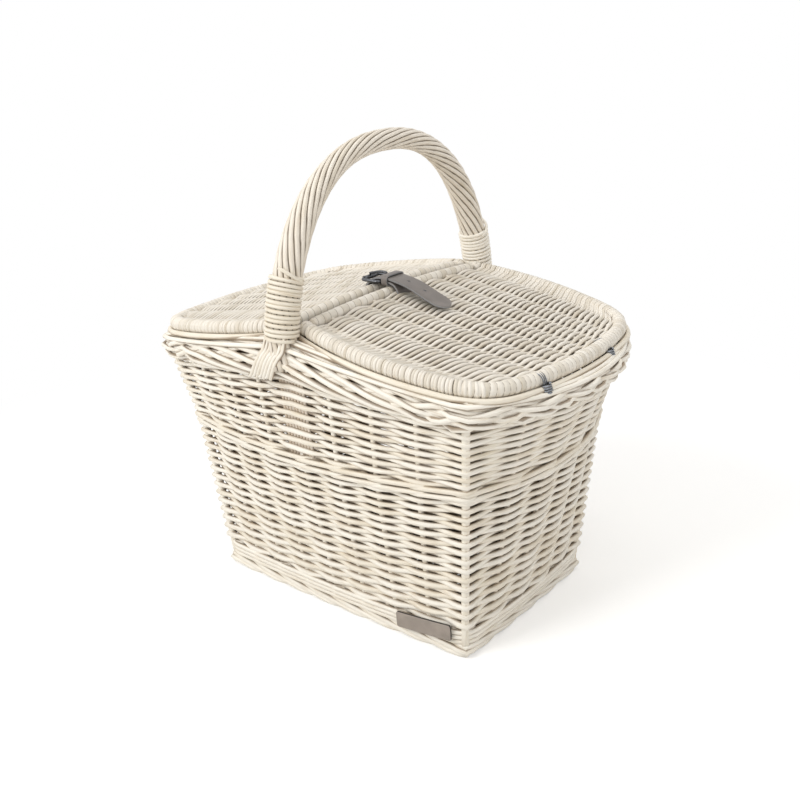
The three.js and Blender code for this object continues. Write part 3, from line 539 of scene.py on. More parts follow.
def willow_material(name, wash, shade, bark, deep):
    """Peeled willow rods, brushed with a thin white wash and left satin.

    The wash is nearly even on the face of the weave, streaked along each rod, and thin in the
    hollows, where the tan rod shows, darkened to the deep colour as painted shade there and in
    the seams between rods."""
    material, tree = new_material(name)
    grain = add_node(tree, "ShaderNodeAttribute", attribute_name="grain").outputs["Vector"]
    tone = add_node(tree, "ShaderNodeAttribute", attribute_name="tone").outputs["Fac"]
    bare = add_node(tree, "ShaderNodeAttribute", attribute_name="bare").outputs["Fac"]
    # Streaks of the wash: about 0.6 mm across a rod and 20 mm along it
    place = add_node(tree, "ShaderNodeMapping", {"Vector": grain, "Scale": (50, 1600, 1600)},
                     vector_type="POINT").outputs["Vector"]
    streak = add_node(tree, "ShaderNodeTexNoise", {"Vector": place, "Scale": 1.0, "Detail": 3.0,
                                                   "Roughness": 0.6}).outputs["Fac"]
    # Soft patches some 25 mm long where the wash is thicker or thinner
    place = add_node(tree, "ShaderNodeMapping", {"Vector": grain, "Scale": (40, 120, 120)},
                     vector_type="POINT").outputs["Vector"]
    patch = add_node(tree, "ShaderNodeTexNoise", {"Vector": place, "Scale": 1.0,
                                                  "Detail": 2.0}).outputs["Fac"]
    # Half of the rods are a little darker than the rest
    light = add_node(tree, "ShaderNodeMapRange", {"Value": tone, "From Max": 0.5}).outputs["Result"]
    tones = add_node(tree, "ShaderNodeMix", {"Factor": light, "A": linear(shade), "B": wash},
                     data_type="RGBA").outputs["Result"]
    rubbed = add_node(tree, "ShaderNodeMath", {0: streak, 1: patch},
                      operation="MULTIPLY").outputs["Value"]
    thin = add_node(tree, "ShaderNodeMapRange", {"Value": rubbed, "From Min": 0.24, "From Max": 0.48,
                                                 "To Max": 0.45}).outputs["Result"]
    washed = add_node(tree, "ShaderNodeMix", {"Factor": thin, "A": tones, "B": linear(bark)},
                      data_type="RGBA").outputs["Result"]
    # The hollows and the seams between rods show the rod's bark, darkened to the deep colour as painted shade
    bark_and_shade = add_node(tree, "ShaderNodeMapRange", {"Value": bare, "From Min": 0.3, "To Max": 0.7})
    final = add_node(tree, "ShaderNodeMix", {"Factor": bark_and_shade.outputs["Result"], "A": washed,
                                             "B": linear(deep)}, data_type="RGBA")
    rough = add_node(tree, "ShaderNodeMapRange", {"Value": streak, "To Min": 0.42, "To Max": 0.62})
    bump = add_node(tree, "ShaderNodeBump", {"Height": streak, "Strength": 0.25, "Distance": 0.00025})
    shader = add_node(tree, "ShaderNodeBsdfPrincipled", {
        "Base Color": final.outputs["Result"], "Roughness": rough.outputs["Result"],
        "Normal": bump.outputs["Normal"], "IOR": 1.5, "Metallic": 0.0})
    add_node(tree, "ShaderNodeOutputMaterial", {"Surface": shader.outputs["BSDF"]})
    return material


def leather_material(name, grain_side, edge, flesh_and_shade):
    """Vegetable-tanned leather, dyed and rolled: fine pores, a soft sheen, and a cut edge in a colour of its
    own, which on the strap is a painted highlight; the strap's dark flesh side is painted shade.

    The point attribute side is 1 on the grain side, 0 on the cut edge and -1 on the flesh side."""
    material, tree = new_material(name)
    place = add_node(tree, "ShaderNodeTexCoord").outputs["Object"]
    side = add_node(tree, "ShaderNodeAttribute", attribute_name="side").outputs["Fac"]
    # Pores and creases 0.7 mm apart
    pores = add_node(tree, "ShaderNodeTexVoronoi", {"Vector": place, "Scale": 1400.0})
    # Slow change of the dye over some 12 mm
    dye = add_node(tree, "ShaderNodeTexNoise", {"Vector": place, "Scale": 80.0, "Detail": 4.0})
    taken = add_node(tree, "ShaderNodeMapRange", {"Value": dye.outputs["Fac"], "From Min": 0.3,
                                                  "From Max": 0.7}).outputs["Result"]
    dyed = add_node(tree, "ShaderNodeMix", {"Factor": taken, "A": scaled(grain_side, 0.86),
                                            "B": scaled(grain_side, 1.08)}, data_type="RGBA")
    # Between the grain side and the flesh side the cut edge has a colour of its own; on the strap the light
    # edge is a painted highlight and the dark flesh side painted shade
    top = add_node(tree, "ShaderNodeMapRange", {"Value": side, "From Min": 0.6, "From Max": 0.9})
    low = add_node(tree, "ShaderNodeMapRange", {"Value": side, "From Min": -0.6, "From Max": -0.9})
    face = add_node(tree, "ShaderNodeMix", {"Factor": top.outputs["Result"], "A": linear(edge),
                                            "B": dyed.outputs["Result"]}, data_type="RGBA")
    full = add_node(tree, "ShaderNodeMix", {"Factor": low.outputs["Result"], "A": face.outputs["Result"],
                                            "B": linear(flesh_and_shade)}, data_type="RGBA")
    bump = add_node(tree, "ShaderNodeBump", {"Height": pores.outputs["Distance"], "Strength": 0.35,
                                             "Distance": 0.0002})
    shader = add_node(tree, "ShaderNodeBsdfPrincipled", {
        "Base Color": full.outputs["Result"], "Normal": bump.outputs["Normal"], "IOR": 1.5,
        "Roughness": 0.5})
    add_node(tree, "ShaderNodeOutputMaterial", {"Surface": shader.outputs["BSDF"]})
    return material


def metal_material(name, colour, roughness):
    """Drawn or plated steel: grey metal with faint marks that blur its shine unevenly."""
    material, tree = new_material(name)
    place = add_node(tree, "ShaderNodeTexCoord").outputs["Object"]
    # Rubbed patches about 3 mm wide
    marks = add_node(tree, "ShaderNodeTexNoise", {"Vector": place, "Scale": 330.0,
                                                  "Detail": 3.0}).outputs["Fac"]
    rough = add_node(tree, "ShaderNodeMapRange", {"Value": marks, "To Min": roughness - 0.08,
                                                  "To Max": roughness + 0.12})
    dull = add_node(tree, "ShaderNodeMapRange", {"Value": marks, "From Min": 0.3, "From Max": 0.7})
    tint = add_node(tree, "ShaderNodeMix", {"Factor": dull.outputs["Result"], "A": scaled(colour, 0.8),
                                            "B": scaled(colour, 1.15)}, data_type="RGBA")
    shader = add_node(tree, "ShaderNodeBsdfPrincipled", {
        "Base Color": tint.outputs["Result"], "Roughness": rough.outputs["Result"], "Metallic": 1.0})
    add_node(tree, "ShaderNodeOutputMaterial", {"Surface": shader.outputs["BSDF"]})
    return material


# Each finish: how it is made, its name, and then the darker rods, the thin wash and the hollows of
# # willow, the hollows being bark in painted shade, the cut edge and flesh side of leather, which
# # on the strap are a painted highlight and painted shade, or the roughness of metal
FINISHES = {
    "wall": (willow_material, "Whitewashed peeled willow", "#EBE2D1", "#C4AC80", "#7A5C36"),
    "lid": (willow_material, "Whitewashed willow of the lids", "#D6CDBD", "#B8A27C", "#554022"),
    "handle": (willow_material, "Whitewashed willow of the handle", "#DED4C3", "#BCA57C", "#5C4526"),
    "group": (willow_material, "Willow of the handle, barely washed", "#DDCDB8", "#BCA382", "#5C4526"),
    # The strap's light blue-grey cut edge is a painted highlight, and its dark flesh side painted shade
    "strap": (leather_material, "Dyed strap leather", "#8B8B8C", "#382F2A"),
    "tag": (leather_material, "Dyed tag leather", "#26221F", "#38332F"),
    # A dark plating with a soft shine
    "buckle": (metal_material, "Gunmetal-plated steel", 0.28),
    # Bright zinc, a little duller than polished steel
    "wire": (metal_material, "Galvanised steel wire", 0.22),
}
FINISHES_MADE = {}


def finish_of(look):
    """The material of a finish, made when it is first asked for."""
    if look not in FINISHES_MADE:
        make, name, *values = FINISHES[look]
        colour = getattr(bpy.context.scene.basket_colours, look)
        FINISHES_MADE[look] = make(name, colour, *values)
    return FINISHES_MADE[look]


def seen_rays(tree):
    """1 where the backdrop is seen directly, in a reflection or through something clear."""
    path = add_node(tree, "ShaderNodeLightPath")
    seen = path.outputs["Is Camera Ray"]
    for ray in ("Is Glossy Ray", "Is Transmission Ray"):
        seen = add_node(tree, "ShaderNodeMath", {0: seen, 1: path.outputs[ray]},
                        operation="MAXIMUM").outputs["Value"]
    return seen


def floor_material():
    """Matt white paper: white to the eye, with the object's own soft shadow near it."""
    material, tree = new_material("Matt white paper")
    place = add_node(tree, "ShaderNodeTexCoord").outputs["Object"]
    distance = add_node(tree, "ShaderNodeVectorMath", {0: place}, operation="LENGTH").outputs["Value"]
    # The shadow fades out from 0.25 to 0.75 m away
    far = add_node(tree, "ShaderNodeMapRange", {"Value": distance, "From Min": 0.25, "From Max": 0.75},
                   interpolation_type="SMOOTHSTEP").outputs["Result"]
    seen = seen_rays(tree)
    near_glow = add_node(tree, "ShaderNodeMath", {0: seen, 1: 0.3}, operation="MULTIPLY").outputs["Value"]
    paper = add_node(tree, "ShaderNodeBsdfDiffuse", {"Color": linear("#EDECEA"), "Roughness": 1.0})
    glow = add_node(tree, "ShaderNodeEmission", {"Color": WHITE, "Strength": near_glow})
    near = add_node(tree, "ShaderNodeAddShader", {0: paper.outputs["BSDF"], 1: glow.outputs["Emission"]})
    white = add_node(tree, "ShaderNodeEmission", {"Color": WHITE, "Strength": 1.0})
    share = add_node(tree, "ShaderNodeMath", {0: far, 1: seen}, operation="MULTIPLY").outputs["Value"]
    both = add_node(tree, "ShaderNodeMixShader", {
        "Fac": share, 1: near.outputs["Shader"], 2: white.outputs["Emission"]})
    add_node(tree, "ShaderNodeOutputMaterial", {"Surface": both.outputs["Shader"]})
    return material


# Wall


def bend(u, sharpness):
    """Way of a weaver from one upright (1) to the other side of the next (-1)."""
    wave = math.cos(math.pi * u)
    return math.copysign(abs(wave) ** sharpness, wave)


def randing_row(level, phase, pitch, weave, sharpness, draw):
    """One weaver once round the body, in front of one upright and behind the next.

    weave is the weaver's thickness in rows between uprights and in front of one, and how far its
    outside lies from the wall's middle. Inside the body the weavers are beaten down closer."""
    crossing, passing, surface = weave
    points, diameters = [], []
    own = pitch * draw.uniform(0.95, 1.03)
    sway = draw.uniform(0, 2 * math.pi)
    for i in range(STATION_COUNT):
        group_here = is_group(i, level)
        group_next = is_group(i + 1, level)
        sign = 1.0 if (i + phase) % 2 == 0 else -1.0
        for k in range(ROW_STEPS):
            u = k / ROW_STEPS
            edge, s = along_wall(i + u)
            if group_here:
                u = max(0.0, (u - GROUP_SHARE) / (1 - GROUP_SHARE))
            elif group_next:
                u = min(1.0, u / (1 - GROUP_SHARE))
            near = corner_share(edge, s, level)
            way = sign * bend(u, sharpness)
            girth = own * mix(crossing, passing, way * way)
            # The outside keeps its distance however thick the weaver is, and is further out on a post
            reach = surface / MM - girth / 2 + 2.0 * near
            # No row is quite level, nor at the same level at each upright
            lift = 0.3 * math.sin(0.9 * (i + k / ROW_STEPS) + sway) + 0.15 * math.sin(2.3 * i + 2 * sway)
            points.append(wall_point(edge, s, level + lift, way * reach, near))
            # The inner side is swollen, so that no light comes through beside an upright
            diameters.append(girth * (1 + 0.35 * max(-way, 0.0)))
    return Rod(points, diameters, closed=True)


def randing(low, high, pitches, weave, sharpness, seed):
    """Rows of single weavers, stouter at the bottom than at the top.

    pitches are the lowest and the highest row's."""
    draw = random.Random(seed)
    count = int(round(2 * (high - low) / sum(pitches)))
    pitches = np.linspace(*pitches, count)
    pitches *= (high - low) / pitches.sum()
    rods = []
    level = low
    for row, pitch in enumerate(pitches):
        rods.append(randing_row(level + pitch / 2, row, pitch, weave, sharpness, draw))
        level += pitch
    return rods


def rope(rods, period, place, diameter, steps, draw, thickness=lambda position: 1.0):
    """Closed rods that wind together round the body, one turn each in a number of stations.

    place(position, turn) gives the point for a position in stations and a turn from 0 to 1, and
    thickness(position) a share of the diameter."""
    loops = math.gcd(STATION_COUNT, period)
    rounds = period // loops
    for loop in range(loops):
        points, diameters = [], []
        own = diameter * draw.uniform(0.97, 1.03)
        for k in range(STATION_COUNT * rounds * steps):
            position = k / steps
            points.append(place(position, ((position + loop) / period) % 1.0))
            diameters.append(own * thickness(position))
        rods.append(Rod(points, diameters, closed=True))


def wale(low, high, diameter, courses, corner_offset, seed):
    """Courses of three weavers, each in front of two uprights and behind one, laid like a rope.

    corner_offset is how far out they pass the corner posts."""
    draw = random.Random(seed)
    rods = []
    height = (high - low) / courses

    def place(position, turn, course):
        edge, s = along_wall(position)
        angle = 2 * math.pi * (turn - 0.5)
        # Flat against the outside for longer than against the inside
        out = max(min(2.2 * math.cos(angle) + 0.2, 1.0), -1.0)
        level = low + height * (course + 0.5) + math.sin(angle) * (height - diameter) * 0.62
        near = corner_share(edge, s, level)
        offset = out * (WALL_HALF + WALE_PROUD - diameter / 2)
        return wall_point(edge, s, level, mix(offset, corner_offset + 0.3 * offset, near), near)

    for course in range(courses):
        rope(rods, 3, lambda p, t, c=course: place(p, t, c), diameter, 8, draw)
    return rods


def foot_border(diameter, seed):
    """Stout rods round the foot, one from each upright, each falling to the right as it goes."""
    draw = random.Random(seed)
    rods = []

    def place(position, turn):
        edge, s = along_wall(position)
        angle = 2 * math.pi * turn
        out = 1.0 + max(min(1.5 * math.cos(angle), 1.0), -1.0) * (FOOT_BORDER_HALF_WIDTH - diameter / 2)
        level = FOOT_TOP / 2 - math.sin(angle) * (FOOT_TOP - diameter + 1.0) / 2
        near = corner_share(edge, s, level)
        return wall_point(edge, s, max(level, diameter / 2), out * (1 + 0.4 * near), near)

    rope(rods, 5, place, diameter, 8, draw)
    return rods


def border_top(share):
    """Level of the border's top, just under the lids' frame rods."""
    return mix(LID_END_LEVEL, LID_MID_LEVEL, share) - LID_ROD_RADIUS - BORDER_CLEARANCE


def border_span(edge, s):
    """Lowest and highest level of the rim border."""
    foot = wall_point(edge, s, RIM["level"])
    return foot.z, border_top(lid_share(foot.x))


def border_point(edge, s, angle, shrink):
    """Point of the rim border's round section, drawn in from its surface by shrink."""
    low, high = border_span(edge, s)
    near = corner_share(edge, s, RIM["level"])
    out = BORDER_OVERHANG + (BORDER_HALF_WIDTH - shrink) * math.cos(angle)
    point = wall_point(edge, s, RIM["level"], out, near)
    point.z = (low + high) / 2 + ((high - low) / 2 - shrink) * math.sin(angle)
    return point


def border_depth(points):
    """How deep points in metres lie below the border's surface, in millimetres."""
    x, _, z = (points / MM).T
    low = RIM["level"] + RIM_RISE * np.maximum(1 - np.abs(x) / RIM["half_length"], 0)
    share = np.clip((PIVOT_X - np.abs(x)) / (PIVOT_X - LID_MID_X), 0, 1)
    high = border_top(share)
    out = (wall_offset(points) - BORDER_OVERHANG) / BORDER_HALF_WIDTH
    up = (z - (low + high) / 2) / ((high - low) / 2)
    return (1 - np.hypot(out, up)) * BORDER_HALF_WIDTH


def plait_share(position):
    """1 at the ends of the body, where the border's rods cross, and 0 along most of a long side.

    Between them it rises from s = 0.55 to 0.9."""
    edge, s = along_wall(position)
    if edge % 2 == 1:
        return 1.0
    share = min(max((abs(s) - 0.55) / 0.35, 0.0), 1.0)
    return share * share * (3 - 2 * share)


def beside_lid(position, out, down):
    """Point beside the lid's frame rod: so far out from its middle, and so far below it."""
    edge, s = along_wall(position)
    share = abs(s) if edge % 2 == 0 else 2 - abs(s)
    corner = HOOP_LENGTHS[HOOP_CORNER]
    at = share * corner if share < 1 else corner + (share - 1) * (HOOP_LENGTHS[-1] - corner)
    x, y = (float(np.interp(at, HOOP_LENGTHS, [p[k] for p in HOOP_HALF])) for k in (0, 1))
    ahead = [float(np.interp(at + 2, HOOP_LENGTHS, [p[k] for p in HOOP_HALF])) for k in (0, 1)]
    behind = [float(np.interp(at - 2, HOOP_LENGTHS, [p[k] for p in HOOP_HALF])) for k in (0, 1)]
    outward = Vector((ahead[1] - behind[1], behind[0] - ahead[0])).normalized() * out
    level = frame_level(x) - down
    turn = -1.0 if edge > 1 else 1.0
    side = math.copysign(1.0, s)
    if edge % 2 == 0:
        return Vector((turn * side * (x + outward.x), turn * (y + outward.y), level))
    return Vector((turn * (x + outward.x), -turn * side * (y + outward.y), level))


def rim_border(diameter, seed):
    """Border of stout rods rolled over the rim: long bundles on the sides, a plait at the ends.

    The falling rods turn once in 10 spaces and the rising ones once in 6. Where they show
    together each passes over one and under the next, and along the sides the rising ones lie
    inside. Plain rods are laid on top, one of them against the lids' frames, and make the core."""
    draw = random.Random(seed)
    rods = []

    def falling(position, turn):
        edge, s = along_wall(position)
        plait = plait_share(position)
        over = math.cos(math.pi * (4 * turn - 2 * position))
        # Under the plain rods on top the falling ones run deeper
        under = max(math.cos(-2 * math.pi * turn - math.radians(84)), 0.0)
        shrink = diameter / 2 + plait * (1.5 - 2.6 * over) + 2.4 * min(1.6 * under, 1.0)
        return border_point(edge, s, -2 * math.pi * turn, shrink)

    def rising(position, turn):
        edge, s = along_wall(position)
        plait = plait_share(position)
        over = -math.cos(math.pi * (4 * turn + 2 * position))
        shrink = diameter / 2 + mix(3.4, 1.5 - 2.6 * over, plait)
        return border_point(edge, s, 2 * math.pi * turn, shrink)

    rope(rods, 10, falling, diameter, 6, draw, lambda position: mix(1.06, 0.84, plait_share(position)))
    rope(rods, 6, rising, diameter, 6, draw, lambda position: mix(1.06, 0.96, plait_share(position)))
    # Plain rods on top, side by side and not quite parallel
    for angle in (47, 74, 101, 128):
        points = []
        for k in range(STATION_COUNT * 6):
            edge, s = along_wall(k / 6)
            points.append(border_point(edge, s, math.radians(angle + 5 * math.sin(k / 19 + angle)), 1.4))
        rods.append(Rod(points, 4.1 + 0.3 * math.sin(angle), closed=True))
    # The core
    for angle in range(0, 360, 60):
        points = []
        for k in range(STATION_COUNT * 3):
            edge, s = along_wall(k / 3)
            points.append(border_point(edge, s, math.radians(angle), 6.6))
        rods.append(Rod(points, 6.0, closed=True))
    # One plain rod against the outside of the lids' frames
    rods.append(Rod([beside_lid(k / 6, 7.2, 6.1) for k in range(STATION_COUNT * 6)], 5.0, closed=True))
    return rods


def uprights():
    """The corner posts and, between them, the stakes."""
    rods = []
    for index, (edge, s) in enumerate(STATIONS):
        top = MID_WALE_TOP if is_group(index, RIM["level"]) else RIM["level"] + 8
        post = abs(s) > 0.99
        offset, turn = (POST_OFFSET, 1.0) if post else (0.0, 0.0)
        rods.append(Rod([wall_point(edge, s, z, offset, turn) for z in np.linspace(4, top, 14)],
                        POST if post else STAKE))
    return rods


def handle_group():
    """The handle's own rods side by side in the wall, closing up to a bundle above the rim."""
    rods = []
    waist, rim = WAIST["level"], RIM["level"] + RIM_RISE
    for turn in (1, -1):
        for k in range(LINERS):
            across = (k - (LINERS - 1) / 2) * LINER_SPACING
            points = []
            for z in np.linspace(waist + 1, rim + 33, 16):
                closing = min(max((z - rim + 4) / 30, 0), 1)
                level = min(z, rim) - RIM_RISE * min(max((z - waist) / (rim - waist), 0), 1)
                y = mix(-wall_point(0, 0.0, level).y, BUNDLE_Y, closing)
                points.append((across * (1 - 0.45 * closing), -turn * y, z))
            rods.append(Rod(points, LINER_ROD))
    return rods


# Handle


def arch_centre(angle):
    """Middle of the arch at an angle from its front spring: a fuller curve than an ellipse."""
    across = math.copysign(abs(math.cos(angle)) ** (1 / ARCH_FULLNESS), math.cos(angle))
    up = math.sin(angle) ** (1 / ARCH_FULLNESS)
    return Vector((0, -HANDLE_HALF_SPAN * across, HANDLE_SPRING_LEVEL + HANDLE_RISE * up))


def arch_point(angle, across, out):
    """Point beside the arch's middle: across along x, and out from the inside of the arch."""
    tangent = (arch_centre(angle + 0.01) - arch_centre(angle - 0.01)).normalized()
    outward = Vector((0, -tangent.z, tangent.y))
    return arch_centre(angle) + Vector((across, 0, 0)) + outward * out


def handle_depth(points):
    """How deep points in metres lie in the handle, in millimetres, from its middle as zero."""
    centres = np.array([tuple(handle_centre(t)) for t in np.linspace(0, 1, 400)])
    return -np.array([math.sqrt(np.min(((centres - point) ** 2).sum(axis=1))) for point in points / MM])


def handle_point(t, across, out):
    """Point of the handle from its front foot, t = 0, to its back foot, t = 1.

    The legs are stouter than the top, on their inner side."""
    start = FOOT_ANGLE - FOOT_TUCK
    return arch_point(mix(start, math.pi - start, t), across, out - LEG_INWARD * leg_share(t))


def handle_centre(t):
    """Middle of the handle's twist."""
    return handle_point(t, 0, 0)


def leg_share(t):
    """1 on the handle's legs and 0 at its top."""
    share = min(max((abs(2 * t - 1) - 0.15) / 0.55, 0.0), 1.0)
    return share * share * (3 - 2 * share)


def handle_strands(look):
    """Tapering rods twisted round a core, thinner together at the top of the arch than at its feet."""
    strands = [([], []) for _ in range(look.strands)]
    core, core_sizes = [], []
    for k in range(121):
        t = k / 120
        outer = mix(look.top_radius, look.leg_radius, leg_share(t)) / MM
        # The rods touch in a ring, so each one's radius is this share of the ring's
        press = math.pi / look.strands
        radius = outer / (1 + press)
        for strand, (points, diameters) in enumerate(strands):
            wind = 2 * math.pi * (strand / look.strands + look.twist * (t - 0.5))
            points.append(handle_point(t, radius * math.cos(wind), radius * math.sin(wind)))
            diameters.append(2 * radius * press)
        core.append(handle_centre(t))
        core_sizes.append(1.8 * radius)
    return [Rod(points, diameters) for points, diameters in strands] + [Rod(core, core_sizes)]


def binding(turns, side, seed):
    """Round skein wound on the handle's foot, with its end tucked across the last turns."""
    draw = random.Random(seed)
    points = []
    step = BINDING_PITCH / ((HANDLE_HALF_SPAN + HANDLE_RISE) / 2)
    for k in range(turns * 20 + 1):
        t = k / 20
        at = FOOT_ANGLE + step * (t + 0.08 * math.sin(2 * math.pi * (t / 3.1 + draw.random() * 0.02)))
        wind = 2 * math.pi * t
        points.append(arch_point(at if side > 0 else math.pi - at, BINDING_RADIUS * math.cos(wind),
                                 BINDING_RADIUS * math.sin(wind) - BINDING_INWARD))
    tuck = []
    for k in range(25):
        t = k / 24
        at = FOOT_ANGLE + step * (turns - 0.8 + 2.4 * t)
        wind = mix(-1.9, -0.2, t) + math.pi / 2
        tuck.append(arch_point(at if side > 0 else math.pi - at, (BINDING_RADIUS + 0.6) * math.cos(wind),
                               (BINDING_RADIUS + 0.6) * math.sin(wind) - BINDING_INWARD))
    return [Rod(points, BINDING_SKEIN), Rod(tuck, TUCKED_SKEIN)]


def tails(edge, seed):
    """Ends of the handle's rods, laid over the border in a fan that slants to one side."""
    draw = random.Random(seed)
    rods = []
    turn = 1 if edge == 0 else -1
    for k in range(TAILS):
        # From the binding's foot it goes round the outside of the border, and down past its middle
        start = (k - (TAILS - 1) / 2) * TAIL_SPACING
        points = [Vector((turn * 0.85 * start, turn * -139.5, 267))]
        reach = draw.uniform(-4, 4)
        for i, angle in enumerate((34, 14, -4, -22, -38, -50 + reach)):
            x = mix(0.9 * start - 2, start - 22, i / 5)
            points.append(border_point(edge, x / RIM["half_length"], math.radians(angle), -1.9))
        rods.append(Rod(smooth_path(points, 5), TAIL_ROD))
    return rods


# Lids


def lid_row_x(q, y):
    """X of a row at y, for q from 0 at the mid bar to 1 at the bowed end."""
    near = LID_MID_X + LID_ROD_RADIUS + 1.8
    bow = lid_end_x(y) - LID_CORNER_X
    far = LID_CORNER_X - LID_ROD_RADIUS + 1.0
    return mix(near, far, q) + bow * q ** 1.5


def stick_y(index, x):
    """Y of a lid's stick: the sticks fan out towards the mid bar."""
    q = (x - LID_MID_X) / (LID_CORNER_X - LID_MID_X)
    share = (2 * index - LID_STICKS + 1) / (LID_STICKS + 1)
    return share * mix(LID_MID_HALF_WIDTH, LID_END_HALF_WIDTH, q)


def row_knots(q):
    """Y of the frame rod, the sticks and the frame rod again along a row."""
    edge_y = LID_END_HALF_WIDTH
    for _ in range(5):
        edge_y = hoop_y(lid_row_x(q, edge_y))
    x = lid_row_x(q, 0)
    return [-edge_y] + [stick_y(k, x) for k in range(LID_STICKS)] + [edge_y]


def frame_ring(q, row, edge_y, turn):
    """The weaver's way round the frame rod at the end of a row: over it, down and under it."""
    x = lid_row_x(q, edge_y)
    centre = Vector((x, turn * edge_y, frame_level(x)))
    ahead = Vector((2.0, turn * (hoop_y(x + 1.0) - hoop_y(x - 1.0)), 0))
    outward = Vector((-ahead.y * turn, ahead.x * turn, 0)).normalized()
    along = ahead.normalized()
    # The rows end in pairs, a little closer to each other than to the next two
    pair = 0.25 if row % 2 == 0 else -0.25
    ring = []
    for angle in np.linspace(150, -150, 17):
        a = math.radians(angle)
        point = centre + outward * (math.cos(a) * LID_WRAP_RADIUS)
        point += Vector((0, 0, math.sin(a) * LID_WRAP_RADIUS)) + along * pair
        ring.append(point)
    return ring


def lid_rows(look, side, seed):
    """Weavers across a lid, over and under its sticks, each wound once round the frame at its ends."""
    draw = random.Random(seed)
    rods = []
    for row in range(look.rows):
        q = (row + 0.5) / look.rows
        knots = row_knots(q)
        own = look.weaver / MM * draw.uniform(0.95, 1.02)
        wound = own * mix(1.0, 1.18, q ** 3)
        points, diameters = [], []
        for k in range(LID_STICKS + 1):
            sign = 1.0 if (row + k) % 2 == 0 else -1.0
            for n in range(LID_ROW_STEPS):
                u = n / LID_ROW_STEPS
                if (k == 0 and u < LID_ROW_START) or (k == LID_STICKS and u > 1 - LID_ROW_START):
                    continue
                y = mix(knots[k], knots[k + 1], u)
                way = bend(u, look.sharpness)
                points.append(on_lid(lid_row_x(q, y), y, sign * way * look.reach / MM))
                diameters.append(own * mix(1.0, look.passing, way * way))
        ring = frame_ring(q, row, knots[-1], -1)
        path = ring[::-1] + points + frame_ring(q, row, knots[-1], 1)
        path = [Vector((side * p.x, p.y, p.z)) for p in path]
        rods.append(Rod(path, [wound] * len(ring) + diameters + [wound] * len(ring)))
    return rods


def lid_sticks(side):
    """The sticks from the mid bar to the end bar."""
    rods = []
    for k in range(LID_STICKS):
        xs = [x for x in np.linspace(LID_MID_X, LID_CORNER_X + LID_END_BOW, 30)
              if x < lid_end_x(stick_y(k, x))]
        rods.append(Rod([on_lid(side * x, stick_y(k, x)) for x in xs], LID_STICK))
    return rods


def lid_frame(side):
    """The whole path of a lid's frame rod, from the front end of its mid bar to the back end."""
    hoop = [Vector((side * p.x, p.y, frame_level(p.x))) for p in HOOP_HALF]
    return hoop + [Vector((p.x, -p.y, p.z)) for p in reversed(hoop[:-1])]


def domed(path, diameter):
    """Diameters along a path that round off both its ends."""
    lengths = [0.0]
    for a, b in zip(path, path[1:]):
        lengths.append(lengths[-1] + (b - a).length)
    radius = diameter / 2
    result = []
    for at in lengths:
        # Round, but not quite to a point
        inside = min(min(at, lengths[-1] - at) / radius, 1.0)
        result.append(diameter * max(math.sqrt(1 - (1 - inside) ** 2), 0.12))
    return result


def below_lid(points):
    """How deep points in metres lie below the lid's middle surface, in millimetres."""
    deep = []
    for x, y, z in points / MM:
        beside = abs(y) - hoop_y(abs(x))
        # Round the frame rod it is the way to the rod's own middle
        deep.append(lid_level(x, y) - z if beside < -6.0
                    else -math.hypot(beside, z - frame_level(x)))
    return np.array(deep)


def bound_bar(name, path, pitch, radius, crown, seam_bark_and_shade, seed):
    """A bar wound with flat skein: each turn is crowned, with a thin seam as dark as seam says, bark in
    painted shade.
    """
    spacing = 0.6
    path = resample(path, spacing)
    sides = 24
    mesh = rods_mesh(name, [Rod(path, domed(path, 2 * radius))], sides, seed)
    points = coordinates(mesh).reshape(len(path), sides, 3)
    centre = np.array([tuple(p) for p in path])[:, None, :] * MM
    run = np.arange(len(path))[:, None] * spacing
    turn = run / pitch + np.arange(sides)[None, :] / sides
    across = np.abs(2 * (turn % 1) - 1)
    drop = crown * across ** 4
    points = centre + (points - centre) * (1 - drop / radius)[:, :, None]
    mesh.vertices.foreach_set("co", points.astype(np.float32).ravel())
    draw = np.random.RandomState(seed)
    tones = draw.random_sample(int(turn.max()) + 2)
    mesh.attributes["tone"].data.foreach_set("value", tones[turn.astype(int)].astype(np.float32).ravel())
    around = np.arange(sides)[None, :] / sides * 2 * np.pi * radius * MM
    grain = np.stack([around + tones[turn.astype(int)], run * MM + 0 * turn, 0 * turn], axis=-1)
    mesh.attributes["grain"].data.foreach_set("vector", grain.astype(np.float32).ravel())
    # The seam's painted shade begins 0.84 of the way from a turn's middle to its edge
    store_bare_and_shade(mesh, seam_bark_and_shade * ((across - 0.84) / 0.12).ravel())
    mesh.update()
    return mesh


# Hinges


def ring_path(y):
    """Three turns of wire round the lid's end rod and the top rods of the border."""
    count = len(RING_OUTLINE)
    points = []
    for k in range(RING_TURNS * count + 1):
        x, z = RING_OUTLINE[k % count]
        along = RING_PITCH * (k / count - RING_TURNS / 2)
        points.append(Vector((PIVOT_X + x, y + along, LID_END_LEVEL + z)))
    return smooth_path(points, 3)


def ring_waist(y):
    """The wire's end, wound round the turns where they leave the end rod."""
    points = []
    steps = 14
    for k in range(WAIST_TURNS * steps + 1):
        angle = 2 * math.pi * k / steps
        along = 7.2 * (k / (WAIST_TURNS * steps) - 0.5)
        out = 2.9 * math.cos(angle)
        points.append(Vector((PIVOT_X + 7.8 + out * 0.95 + along * 0.3, y + 4.3 * math.sin(angle),
                              LID_END_LEVEL - 5.2 + out * 0.3 - along * 0.95)))
    return points


# Strap


